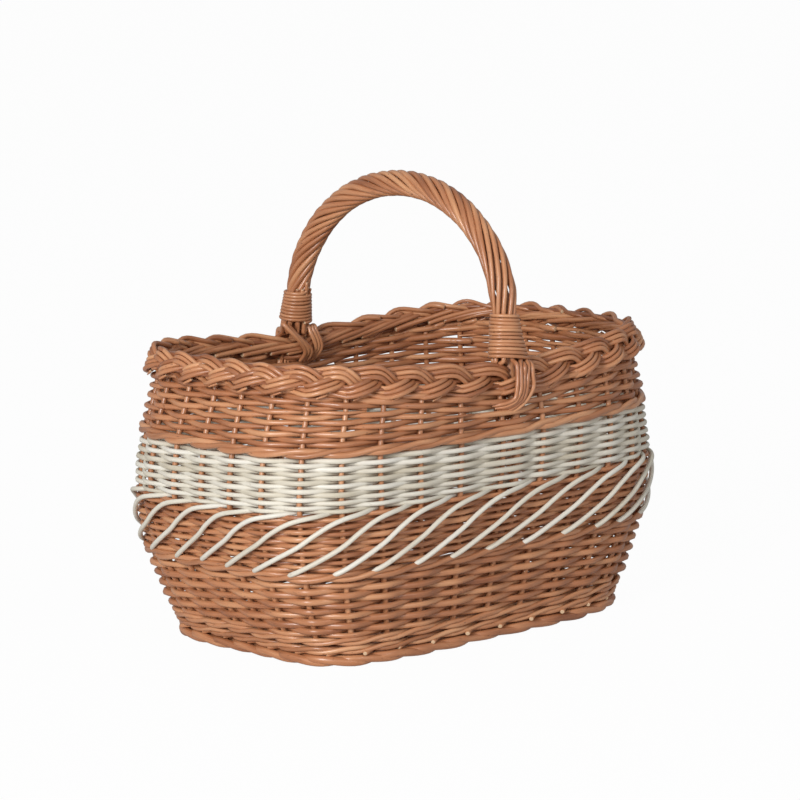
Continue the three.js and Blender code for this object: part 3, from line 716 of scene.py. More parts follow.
    def at(self, place: np.ndarray, level: np.ndarray) -> tuple[np.ndarray, np.ndarray]:
        """Points and outward normals at places and levels."""
        return self.by_angle(self.angle_at(place), level)

    def near(self, place: np.ndarray, other: float, width: float) -> np.ndarray:
        """A bell exp(-(d / width)^2), where d is the way round from another place, in gaps."""
        away = (place - other + self.stake_count / 2) % self.stake_count - self.stake_count / 2
        return np.exp(-((away / width) ** 2))


@dataclass
class Uprights:
    """The stakes and the two legs of the handle's bow, which rods pass in turn."""

    wall: Wall
    stake_thickness: float = 4.7
    foot_level: float = 2.0
    top_level: float = 203.0
    bow_thickness: float = 9.0
    bow_tip_thickness: float = 6.0
    bow_tip_level: float = 88.0
    bow_spring_level: float = 250.0
    handle_place: float = 4.0
    rings: int = 44
    wander: float = 0.018
    thick_end: float = 1.04
    taper: float = 0.12
    seed: int = 11

    @cached_property
    def legs(self) -> tuple[float, float]:
        """Places of the far leg and the near leg."""
        lean = math.atan2(self.handle_place, self.wall.belly_width / 2 - self.wall.half)
        return self.wall.place_of(math.pi / 2 - lean), self.wall.place_of(1.5 * math.pi + lean)

    def bow_radius(self, level: float) -> float:
        """Half the thickness of the bow at a height."""
        share = (level - self.bow_tip_level) / (self.bow_spring_level - self.bow_tip_level)
        share = min(max(share, 0.0), 1.0)
        return (self.bow_tip_thickness + (self.bow_thickness - self.bow_tip_thickness) * share) / 2

    def passed(self, start: float, end: float, level: float) -> tuple[np.ndarray, np.ndarray, np.ndarray]:
        """What a rod passes between two places.

        Args:
            start: First place, counted on over many turns.
            end: Last place.
            level: Level of the rod, below which the bow doesn't reach.

        Returns:
            Places, half thicknesses, and the number of the stake on whose side each is passed.
        """
        first, last = math.floor(start) - 1, math.ceil(end) + 1
        places = list(np.arange(first, last + 1, dtype=float))
        halves = [self.stake_thickness / 2] * len(places)
        numbers = list(range(first, last + 1))
        if level > self.bow_tip_level:
            turns = range(first // self.wall.stake_count - 1, last // self.wall.stake_count + 2)
            for turn in turns:
                for leg in self.legs:
                    place = leg + turn * self.wall.stake_count
                    if first < place < last:
                        places.append(place)
                        halves.append(self.bow_radius(level))
                        numbers.append(round(place))
        order = np.argsort(places)
        return np.array(places)[order], np.array(halves)[order], np.array(numbers)[order]

    def build(self) -> bpy.types.Object:
        """Makes the stakes: each follows the wall up from inside the foot, with a slight wander."""
        rods = Rods(sides=10)
        chance = np.random.default_rng(self.seed)
        for stake in range(self.wall.stake_count):
            level = np.linspace(self.foot_level, self.top_level, self.rings)
            wander = Waver(seed=300 + stake, slowest=0.3, fastest=3.0).at(level / 100.0)
            place = np.full_like(level, float(stake)) + self.wander * wander
            points, normal = self.wall.at(place, level)
            half = self.stake_thickness / 2 * (self.thick_end - self.taper * (level / self.top_level))
            rods.add(points, normal, half, half, chance.uniform(0.1, 0.9))
        return rods.build("stakes")


# Woven zones


@dataclass
class Weave:
    """Single rods that run in front of one upright and behind the next, in one rising spiral.

    The row after u turns fills the height from top(u - 1) to top(u), so that both edges of the zone
    lie level. The spiral is laid from many rods, each of which starts at its thick end behind an
    upright, and ends thin behind another.
    """

    wall: Wall
    uprights: Uprights
    bottom: float
    height: float
    turns: int
    thickness: float
    thickness_spread: float = 0.08
    thickness_drift: float = 0.05
    taper: float = 0.16
    wander: float = 0.22
    tip_share: float = 0.6
    least_room: float = 0.45
    start_place: float = 7.0
    rod_gaps: tuple[int, int] = (11, 15)
    lap: float = 0.3
    tuck_length: float = 0.55
    tuck_depth: float = 1.1
    straight: float = 0.85
    flat: float = 0.94
    steps: int = 6
    sides: int = 8
    seed: int = 1
    packs: tuple[int, ...] = ()
    pack_row: float = 4.5
    pack_fill: float = 0.56
    least_pack: float = 0.32

    def _top(self, turns: np.ndarray) -> np.ndarray:
        """Top of the row after so many turns, before any packing rows."""
        tip = self.height / (self.turns + 1) * self.tip_share
        slope = (self.height - 2 * tip) / self.turns
        rising = np.minimum(self.bottom + tip + slope * turns, self.bottom + self.height)
        return np.where(turns < 0, self.bottom, rising)

    def _shape(
        self,
        place: np.ndarray,
        height: np.ndarray,
        half: np.ndarray,
        posts: np.ndarray,
        halves: np.ndarray,
        side: np.ndarray,
    ) -> tuple[np.ndarray, np.ndarray]:
        """Centres of a rod and outward directions there.

        Args:
            place: Places along the rod.
            height: Height of the rod's middle at each place.
            half: Half thickness of the rod at each place.
            posts: Places of the uprights passed.
            halves: Half thickness of each upright passed.
            side: +1 or -1 for each upright passed.

        Returns:
            Points and normals. The rod swings from one side of the wall to the other by eased steps.
        """
        swing = eased(posts, side, place, self.straight)
        offset = eased(posts, side * halves, place, self.straight) + swing * half
        level = self.wall.level_of(self.wall.angle_at(place), height)
        points, normal = self.wall.at(place, level)
        return points + normal * offset[:, None], normal

    def fill(self, rods: Rods) -> None:
        """Adds the rods of the zone.

        Args:
            rods: The rods of the piece, to which these are added.
        """
        chance = np.random.default_rng(self.seed)
        total = self.wall.stake_count * (self.turns + 1)
        at = self.start_place
        wander = Waver(seed=self.seed + 50)
        drift = Waver(seed=self.seed + 90, slowest=0.01, fastest=0.3)
        while at < self.start_place + total - 1:
            gaps = 2 * int(chance.integers(*self.rod_gaps))
            end = min(at + gaps, self.start_place + total)
            count = int((end - at + 2 * self.lap) * self.steps) + 1
            place = np.linspace(at - self.lap, end + self.lap, count)
            turns = (place - self.start_place) / self.wall.stake_count
            under, over = self._top(turns - 1), self._top(turns)
            middle = (under + over) / 2 + self.wander * wander.at(place)
            share = (place - at) / max(end - at, 1.0)
            own = chance.normal(1.0, self.thickness_spread)
            natural = self.thickness / 2 * own * (1 + self.taper * (0.5 - share))
            natural = natural * (1 + self.thickness_drift * drift.at(place))
            room = np.clip((over - under) / np.median(over - under), self.least_room, 1.0)
            half = natural * room
            posts, halves, numbers = self.uprights.passed(place[0], place[-1], self.bottom + self.height / 2)
            side = np.where(numbers % 2 == 0, Side.OUTSIDE.value, Side.INSIDE.value)
            height = middle + self._packed(place, turns)
            half_out, half_up = half * self.flat, half * (2.0 - self.flat)
            points, normal = self._shape(place, height, half_out, posts, halves, side)
            tuck = tucked(place, self.tuck_length)
            points = points - normal * (tuck * half * self.tuck_depth)[:, None]
            rods.add(points, normal, half_out, half_up, float(chance.uniform()))
            at = end
        self._pack(rods, chance)

    def _pack_height(self, place: np.ndarray, index: int) -> np.ndarray:
        """Height of a pack at each place, which is its share of the rim's rise there."""
        rise = self.wall.rise_at(self.wall.angle_at(place), np.full_like(place, self.wall.rise_to))
        return np.clip(rise - index * 2 * self.pack_row, 0.0, 2 * self.pack_row)

    def _packed(self, place: np.ndarray, turns: np.ndarray) -> np.ndarray:
        """Height that the packs below a row add to it."""
        added = np.zeros_like(place)
        for index, below in enumerate(self.packs):
            added = added + self._pack_height(place, index) * (np.floor(turns) >= below)
        return added

    def _pack(self, rods: Rods, chance: np.random.Generator) -> None:
        """Adds the short packing rows that lift the rim at the two ends of the basket.

        Each pack is a rod that goes round one end, turns about an upright and comes back above itself.
        Its thickness follows the rise that it makes.

        Args:
            rods: The rods of the piece, to which these are added.
            chance: Source of small differences.
        """
        count = self.wall.stake_count
        for index, below in enumerate(self.packs):
            for middle in (-0.5, count / 2 - 0.5):
                place = np.linspace(middle - count / 4, middle + count / 4, int(count / 2 * self.steps))
                thick = self._pack_height(place, index) / 2
                kept = thick > self.least_pack * self.pack_row
                if not np.any(kept):
                    continue
                place, thick = place[kept], thick[kept]
                turn = (place - self.start_place) / count + (place < self.start_place - count)
                place = place + count * (below - 1 - np.floor(turn))
                base = self._top(below - 1 + turn - np.floor(turn))
                base = base + self._packed(place, (place - self.start_place) / count)
                half = np.minimum(thick * self.pack_fill, self.thickness / 2)
                posts, halves, numbers = self.uprights.passed(place[0], place[-1], self.bottom)
                for layer in (0, 1):
                    side = np.where((numbers + layer) % 2 == 0, Side.INSIDE.value, Side.OUTSIDE.value)
                    height = base + thick * (layer + 0.5)
                    points, normal = self._shape(place, height, half, posts, halves, side)
                    rods.add(points, normal, half, half, float(chance.uniform()))

    def build(self, name: str) -> bpy.types.Object:
        """Makes the zone's piece."""
        rods = Rods(sides=self.sides)
        self.fill(rods)
        return rods.build(name)


@dataclass
class Wale:
    """A round of three long rods. Each passes outside two uprights and inside the third.

    A rod lies uppermost at the first of its two uprights and lower at the second, because the next rod
    comes out over it there.
    """

    wall: Wall
    uprights: Uprights
    bottom: float
    height: float
    thickness: float
    rounds: int = 1
    slant: float = 1.0
    joins: tuple[tuple[int, int], ...] = ((9, 15), (20, 26))
    lap: float = 0.35
    tuck_length: float = 0.6
    thick_end: float = 1.06
    taper: float = 0.18
    thickness_spread: float = 0.04
    wander: float = 0.25
    steps: int = 7
    sides: int = 10
    seed: int = 1

    def fill(self, rods: Rods) -> None:
        """Adds the rods of the wale.

        Args:
            rods: The rods of the piece, to which these are added.
        """
        chance = np.random.default_rng(self.seed)
        count = self.wall.stake_count
        layer = self.height / self.rounds
        for turn in range(self.rounds):
            middle = self.bottom + layer * (turn + 0.5)
            for shift in range(3):
                cuts = [0, *(int(chance.integers(*join)) for join in self.joins), count]
                for begin, end in zip(cuts[:-1], cuts[1:]):
                    begin = begin // 3 * 3 + shift - 1
                    end = end // 3 * 3 + shift - 1
                    self._add_rod(rods, begin, end, shift, middle, layer, chance)

    def _add_rod(
        self,
        rods: Rods,
        begin: int,
        end: int,
        shift: int,
        middle: float,
        layer: float,
        chance: np.random.Generator,
    ) -> None:
        """Adds one rod of the wale between two uprights that it passes on the inside.

        Args:
            rods: The rods of the wale.
            begin: The upright at its thick end.
            end: The upright at its thin end.
            shift: Which of the three rods it is.
            middle: Level of the round's middle.
            layer: Height of the round.
            chance: Source of small differences.
        """
        count = int((end - begin + 2 * self.lap) * self.steps) + 1
        place = np.linspace(begin - self.lap, end + self.lap, count)
        posts, halves, numbers = self.uprights.passed(place[0], place[-1], middle)
        stroke = (numbers - shift) % 3
        side = np.where(stroke == 2, Side.INSIDE.value, Side.OUTSIDE.value)
        share = (place - begin) / (end - begin)
        own = chance.normal(1.0, self.thickness_spread)
        half = self.thickness / 2 * (self.thick_end - self.taper * share) * own
        lift = np.choose(stroke, [1.0, -1.0, 0.0]) * self.slant * (layer - self.thickness) / 2
        offset = eased(posts, side * halves, place) + eased(posts, side, place) * half
        wander = self.wander * Waver(seed=self.seed + shift).at(place)
        points, normal = self.wall.at(place, middle + eased(posts, lift, place) + wander)
        points = points + normal * (offset - tucked(place, self.tuck_length) * half)[:, None]
        rods.add(points, normal, half, half, float(chance.uniform()))

    def build(self, name: str) -> bpy.types.Object:
        """Makes the wale's piece."""
        rods = Rods(sides=self.sides)
        self.fill(rods)
        return rods.build(name)


@dataclass
class FootRope(Wale):
    """The lowest wale, with a clipped end beside each upright between it and the weave."""

    end_seed: int = 61
    end_place: float = 0.6
    place_spread: float = 0.03
    end_gaps: float = 0.34
    end_level: float = 12.2
    level_spread: float = 0.3
    end_fall: float = 1.8
    end_stand: float = 0.5
    end_reach: tuple[float, float] = (2.0, 7.6)
    end_curve: float = 1.3
    end_half_out: float = 2.0
    end_half_up: float = 1.8
    end_tones: tuple[float, float] = (0.4, 0.9)

    def fill(self, rods: Rods) -> None:
        """Adds the rods of the wale, and then the clipped ends.

        Args:
            rods: The rods of the piece, to which these are added.
        """
        super().fill(rods)
        chance = np.random.default_rng(self.end_seed)
        share = np.linspace(0.0, 1.0, 8)
        for stake in range(self.wall.stake_count):
            place = stake + self.end_place + chance.normal(0.0, self.place_spread) - self.end_gaps * share
            level = self.end_level - self.end_fall * share + chance.normal(0.0, self.level_spread)
            points, normal = self.wall.at(place, level)
            reach = self.end_stand + chance.uniform(*self.end_reach) * share**self.end_curve
            points = points + normal * reach[:, None]
            tone = float(chance.uniform(*self.end_tones))
            rods.add(points, normal, self.end_half_out, self.end_half_up, tone)


@dataclass
class SlantedRods:
    """White rods that slant down over the fine weave, one from each upright.

    Each comes out under the white band, turns at its upright, and has its point tucked in above the
    lower wale. All are the same smooth curve through a few places. A place is given by its gaps from
    the rod's own upright, by its drop as a share of the way from the white band's edge to the rod's
    low end, and by how far it stands out from the wall's middle.
    """

    wall: Wall
    thickness: float = 4.0
    edge: float = 126.6
    low: float = 79.5
    gaps: tuple[float, ...] = (1.32, 1.02, 0.72, 0.4, 0.0, -0.33, -0.7, -1.05, -1.5, -1.95, -2.2, -2.36)
    drops: tuple[float, ...] = (
        -0.04, -0.03, -0.02, 0.01, 0.066, 0.161, 0.331, 0.522, 0.713, 0.894, 0.985, 1.03,
    )
    stand: tuple[float, ...] = (-4.8, -4.5, 0.2, 5.0, 7.4, 7.6, 7.6, 7.6, 7.6, 7.3, 6.2, 4.2)
    swept_from: int = 6
    dropped_from: int = 5
    sweep_spread: float = 0.07
    drop_spread: float = 0.015
    point_from: float = 0.93
    point_loss: float = 0.7
    thin_share: float = 0.92
    thickening: float = 0.1
    tones: tuple[float, float] = (0.35, 1.0)
    seed: int = 21

    def build(self) -> bpy.types.Object:
        """Makes the slanting rods, one at each upright."""
        rods = Rods(sides=10)
        chance = np.random.default_rng(self.seed)
        shape = np.stack([self.gaps, self.drops, self.stand], axis=-1)
        for stake in range(self.wall.stake_count):
            control = shape.copy()
            for first, column, spread in (
                (self.swept_from, 0, self.sweep_spread),
                (self.dropped_from, 1, self.drop_spread),
            ):
                own = chance.normal(0.0, spread)
                control[first:, column] += np.linspace(0.0, own, len(control) - first)
            curve = through(control, 50)
            level = self.edge + (self.low - self.edge) * curve[:, 1]
            points, normal = self.wall.at(stake + curve[:, 0], level)
            share = np.linspace(0.0, 1.0, len(curve))
            point = self.point_loss * step_up(self.point_from, 1.0, share)
            half = self.thickness / 2 * (self.thin_share + self.thickening * share) * (1 - point)
            rods.add(points + normal * curve[:, 2:3], normal, half, half, chance.uniform(*self.tones))
        return rods.build("white_slanting_rods")


@dataclass
class Border:
    """The plaited border: three strands, each a flat group of rods laid side by side.

    In the plait's own leaning plane a strand's centre lies at (swing sin f, -depth sin 2f) across and
    out of that plane, where f turns once while the strand passes three uprights. In the upper half
    flattening times s (1 - s) is added to the sine s, which broadens the top. The lower limbs on the
    inner face are lifted a little, and the crests at the ends of the basket are lower. The strands
    follow one another a third of a turn apart. Inside, rod ends lie long and low along the plait, and
    outside a clipped end looks out under it beside each upright.
    """

    wall: Wall
    uprights: Uprights
    level: float = RIM_LEVEL
    swing: float = 8.2
    flattening: float = 1.0
    inner_lift: float = 0.3
    overhang: float = 6.0
    end_crest_share: float = 0.56
    depth: float = 4.2
    lean: float = math.radians(26.0)
    rod: float = 3.8
    group: int = 3
    lane_room: float = 1.03
    rod_gaps: int = 6
    rod_spread: float = 0.05
    rod_wander: float = 0.25
    thick_end: float = 1.06
    taper: float = 0.14
    lap: float = 0.5
    tuck_length: float = 0.8
    tuck_depth: float = 0.9
    leg_bulge: float = 4.0
    leg_width: float = 0.35
    inner_rod: float = 4.2
    inner_gaps: float = 2.4
    inner_below: float = 3.6
    inner_climb: float = 11.6
    inner_drop: float = 0.22
    inner_facing: float = 0.8
    inner_depth: float = 6.2
    inner_bow: float = 3.4
    inner_return: float = 3.6
    inner_leg_room: float = 4.5
    inner_leg_width: float = 0.4
    inner_place_spread: float = 0.05
    inner_wander: float = 0.5
    inner_curve: float = 0.9
    inner_spread: float = 0.06
    inner_thick_end: float = 1.08
    inner_taper: float = 0.2
    second_gap: float = 0.45
    core: float = 3.8
    core_levels: tuple[float, ...] = (-5.0, 0.4, 5.8)
    core_inset: float = 1.6
    # Below 0: painted shade, so the core rods in the plait's hollows take the darkest willow colour.
    core_painted_shade_tone: float = -0.8
    tip_place: float = 0.42
    tip_gaps: float = 0.24
    tip_below: float = 9.6
    tip_out: float = 4.0
    tip_lean: float = 1.2
    tip_half: float = 1.15
    tip_spread: float = 0.04
    tip_fall: tuple[float, float] = (3.0, 4.0)
    tip_loss: float = 0.5
    tip_narrow_from: float = 0.4
    tip_tones: tuple[float, float] = (0.5, 1.0)
    steps: int = 9
    seed: int = 31

    def _base(self, place: np.ndarray, level: np.ndarray) -> tuple[np.ndarray, np.ndarray, np.ndarray]:
        """The wall's middle, moved out where the border overhangs the ends, and its direction.

        Args:
            place: Places along the border.
            level: Level at each place.

        Returns:
            Points, normals, and how far each place belongs to an end of the basket, from 0 to 1.
        """
        points, normal = self.wall.at(place, level)
        end = normal[:, 0] ** 2
        return points + normal * (self.overhang * end)[:, None], normal, end

    def _centre(self, place: np.ndarray, strand: int) -> tuple[np.ndarray, np.ndarray]:
        """Middle of a strand, and the direction in which the plait's face looks.

        Args:
            place: Places along the border.
            strand: Number of the strand.

        Returns:
            Points and unit directions.
        """
        phase = FULL_TURN * (place / 3.0 + 1.0 / 12.0 + strand / 3.0)
        middle, normal, end = self._base(place, np.full_like(place, self.level))
        face = normal * math.cos(self.lean) + UP * math.sin(self.lean)
        across = UP * math.cos(self.lean) - normal * math.sin(self.lean)
        out = -self.depth * np.sin(2 * phase)
        for leg in self.uprights.legs:
            bulge = self.leg_bulge * self.wall.near(place, leg, self.leg_width)
            out = out + bulge * np.sign(out) * np.minimum(np.abs(out), 1.0)
        wave = np.sin(phase)
        upper = np.maximum(wave, 0.0)
        inner = np.maximum(-out / self.depth, 0.0) * np.maximum(-wave, 0.0)
        top = (wave + self.flattening * upper * (1.0 - upper)) * (1.0 - (1.0 - self.end_crest_share) * end)
        rise = self.swing * (np.where(wave > 0.0, top, wave) + self.inner_lift * inner)
        return middle + face * out[:, None] + across * rise[:, None], face

    def fill(self, rods: Rods) -> None:
        """Adds the rods of all strands. Each rod is cut off inside and the next one takes its place.

        Args:
            rods: The rods of the piece, to which these are added.
        """
        chance = np.random.default_rng(self.seed)
        count = self.wall.stake_count
        for strand in range(3):
            for lane in range(self.group):
                start = 3 * float(chance.integers(0, 2)) + (1 - strand) + lane
                cuts = np.arange(start, start + count + 0.1, self.rod_gaps)
                cuts = np.append(cuts[cuts < start + count - 3], start + count)
                for begin, end in zip(cuts[:-1], cuts[1:]):
                    steps = int((end - begin + 2 * self.lap) * self.steps)
                    place = np.linspace(begin - self.lap, end + self.lap, steps)
                    centre, face = self._centre(place, strand)
                    run = unit(np.gradient(centre, axis=0))
                    across = unit(np.cross(run, face))
                    shift = (lane - (self.group - 1) / 2) * self.rod * self.lane_room
                    wander = Waver(seed=int(chance.integers(1, 9999)), slowest=0.1, fastest=0.6).at(place)
                    share = (place - begin) / (end - begin)
                    own = chance.normal(1.0, self.rod_spread)
                    half = self.rod / 2 * own * (self.thick_end - self.taper * share)
                    points = centre + across * (shift + self.rod_wander * wander[:, None])
                    tuck = tucked(place, self.tuck_length) * self.rod * self.tuck_depth
                    points = points - face * tuck[:, None]
                    rods.add(points, face, half, half, float(chance.uniform()))

    def _add_inner_rods(self, rods: Rods) -> None:
        """Adds the long ends on the inner face, all round but at the end that looks towards -X.

        Each climbs to the plait's top edge, and a little less high at the other end.

        Args:
            rods: The rods of the piece, to which these are added.
        """
        chance = np.random.default_rng(self.seed + 1)
        share = np.linspace(0.0, 1.0, 34)
        for stake in range(self.wall.stake_count):
            _, facing = self.wall.at(np.array([stake - self.inner_gaps / 2]), np.array([self.level]))
            if -facing[0, 0] > self.inner_facing:
                continue
            climb = self.inner_climb * (1.0 - self.inner_drop * facing[0, 0] ** 2)
            starts = (0.0, self.second_gap) if stake % 5 in (1, 3) else (0.0,)
            for start in starts:
                shift = chance.normal(0.0, self.inner_place_spread)
                place = stake + start + shift - self.inner_gaps * share
                wander = self.inner_wander * Waver(seed=900 + stake).at(place)
                level = self.level - self.inner_below + climb * share**self.inner_curve + wander
                bow = self.inner_bow * np.sin(math.pi * share)
                reach = self.inner_return * share - self.inner_depth - bow
                for leg in self.uprights.legs:
                    reach = reach - self.inner_leg_room * self.wall.near(place, leg, self.inner_leg_width)
                points, normal, _ = self._base(place, level)
                own = chance.normal(1.0, self.inner_spread)
                half = self.inner_rod / 2 * own * (self.inner_thick_end - self.inner_taper * share)
                points = points + normal * reach[:, None]
                rods.add(points, -normal, half, half, float(chance.uniform()))

    def _add_core(self, rods: Rods) -> None:
        """Adds the hidden ends round which the strands are plaited, as rods in the middle, darkened as
        painted shade for the plait's hollows.

        Args:
            rods: The rods of the piece, to which these are added.
        """
        for shift in self.core_levels:
            place = np.linspace(0.0, self.wall.stake_count, 200, endpoint=False)
            points, normal, _ = self._base(place, np.full_like(place, self.level + shift))
            points = points - normal * (shift * math.tan(self.lean) + self.core_inset)
            # The core's tone below 0 is painted shade for the hollows it fills.
            rods.add(points, normal, self.core / 2, self.core / 2, self.core_painted_shade_tone, looped=True)

    def _add_tips(self, rods: Rods) -> None:
        """Adds the clipped ends that look out under the plait beside the uprights.

        Args:
            rods: The rods of the piece, to which these are added.
        """
        chance = np.random.default_rng(self.seed + 2)
        share = np.linspace(0.0, 1.0, 8)
        for stake in range(self.wall.stake_count):
            place = stake + self.tip_place + chance.normal(0.0, self.tip_spread) - self.tip_gaps * share
            level = self.level - self.tip_below - chance.uniform(*self.tip_fall) * share
            points, normal, _ = self._base(place, level)
            points = points + normal * (self.tip_out + self.tip_lean * share)[:, None]
            half = self.tip_half * (1.0 - self.tip_loss * step_up(self.tip_narrow_from, 1.0, share))
            rods.add(points, normal, half, half, float(chance.uniform(*self.tip_tones)))

    def build(self) -> bpy.types.Object:
        """Makes the border's piece."""
        rods = Rods(sides=10)
        self.fill(rods)
        self._add_core(rods)
        self._add_inner_rods(rods)
        self._add_tips(rods)
        return rods.build("plaited_border")


@dataclass(frozen=True)
class Tail:
    """The way of a group of rod ends below a binding, where rods lie side by side in lanes.

    Each step has a height, a distance out from the wall's middle, the place of the group's middle
    along the basket, the room between two lanes, and how much lower each next lane lies. The last lane
    can swell along the basket at one height.
    """

    steps: tuple[tuple[float, float, float, float, float], ...]
    swell: float = 0.0
    swell_height: float = 208.0
    swell_reach: float = 9.0

    def swelling(self, height: float) -> float:
        """How far the last lane swells at a height."""
        return self.swell * math.exp(-(((height - self.swell_height) / self.swell_reach) ** 2))


OUTER_NEAR = Tail(
    (
        (225.0, 12.0, 2.6, 4.1, 0.5),
        (216.0, 14.2, 0.6, 3.7, 0.0),
        (207.0, 14.4, -1.0, 3.5, 0.0),
        (200.0, 13.0, -3.2, 3.4, 0.3),
        (195.0, 10.0, -7.0, 3.2, 0.9),
        (191.8, 5.8, -13.0, 2.9, 1.5),
        (190.6, 0.6, -19.0, 2.4, 1.8),
    ),
    swell=4.0,
)
INNER_NEAR = Tail(
    (
        (223.0, -8.5, -6.0, 5.0, 0.0),
        (214.0, -13.0, -5.0, 5.0, 0.0),
        (205.0, -13.0, -4.5, 4.8, 0.0),
        (196.0, -9.6, -4.0, 4.4, 0.0),
        (187.0, -8.8, -4.0, 4.2, 0.0),
        (180.0, -8.8, -4.0, 4.0, 0.0),
    )
)
OUTER_FAR = Tail(
    (
        (226.0, 12.0, 0.0, 3.7, 0.0),
        (215.0, 14.0, 0.0, 3.6, 0.0),
        (206.0, 14.0, 1.0, 3.4, 0.0),
        (197.0, 11.0, 4.0, 3.3, 0.0),
        (191.0, 5.0, 9.0, 3.0, 0.0),
        (189.0, -1.0, 13.0, 2.6, 0.0),
    )
)
CROSSING_FAR = Tail(
    (
        (234.0, -8.5, -15.0, 3.0, 0.8),
        (228.0, -13.6, -12.4, 3.2, 1.4),
        (220.5, -16.6, -5.0, 3.4, 1.5),
        (213.0, -16.8, 1.6, 3.5, 0.8),
        (207.0, -14.6, 3.4, 3.4, 0.2),
        (202.0, -9.0, 4.0, 3.3, 0.0),
    )
)
CURVING_FAR = Tail(
    (
        (231.0, -10.0, 11.4, 3.3, 0.0),
        (225.0, -13.2, 12.0, 3.3, 0.0),
        (219.0, -14.6, 14.2, 3.3, 0.0),
        (213.0, -14.6, 15.4, 3.3, 0.0),
        (207.0, -13.0, 14.2, 3.3, 0.0),
        (201.0, -8.0, 13.2, 3.3, 0.0),
    )
)


@dataclass(frozen=True)
class Binding:
    """A rod wound round one foot of the handle.

    It has a lowest height, a number of turns, a distance between them, a slope along the basket at its
    lower and at its upper end, and the rod's own shade.
    """

    name: str
    low: float
    turns: int
    pitch: float
    slopes: tuple[float, float]
    tone: float


NEAR_BINDING = Binding("near_binding_rod", low=226.6, turns=12, pitch=3.0, slopes=(0.15, 0.09), tone=0.62)
FAR_BINDING = Binding("far_binding_rod", low=235.5, turns=9, pitch=2.7, slopes=(0.02, 0.02), tone=0.45)


@dataclass
class Rings:
    """The rings on which the twisted rods lie, one at each place along the bow.

    Each has the bow's middle, the direction away from the arch's inside, the distance along the bow,
    the twist up to there, half axes outwards and sideways, and half the thickness of the rods.
    """

    bow: np.ndarray
    out: np.ndarray
    arc: np.ndarray
    twist: np.ndarray
    half_out: np.ndarray
    half_side: np.ndarray
    half_rod: np.ndarray

    def backwards(self) -> "Rings":
        """The same rings, counted from the far end."""
        return Rings(
            self.bow[::-1],
            self.out[::-1],
            self.arc[-1] - self.arc[::-1],
            self.twist[::-1],
            self.half_out[::-1],
            self.half_side[::-1],
            self.half_rod[::-1],
        )


def around(
    middle: np.ndarray,
    out: np.ndarray,
    half_out: np.ndarray,
    half_side: np.ndarray,
    angle: np.ndarray | float,
) -> np.ndarray:
    """Points round a bow.

    Args:
        middle: The bow's middle at each place.
        out: Direction away from the arch's inside.
        half_out: Half axis a in that direction.
        half_side: Half axis b along X.
        angle: The angle q round the bow.

    Returns:
        middle + out a cos(q) + X b sin(q).
    """
    shifted = middle + out * (half_out * np.cos(angle))[:, None]
    return shifted + ALONG_X * (half_side * np.sin(angle))[:, None]


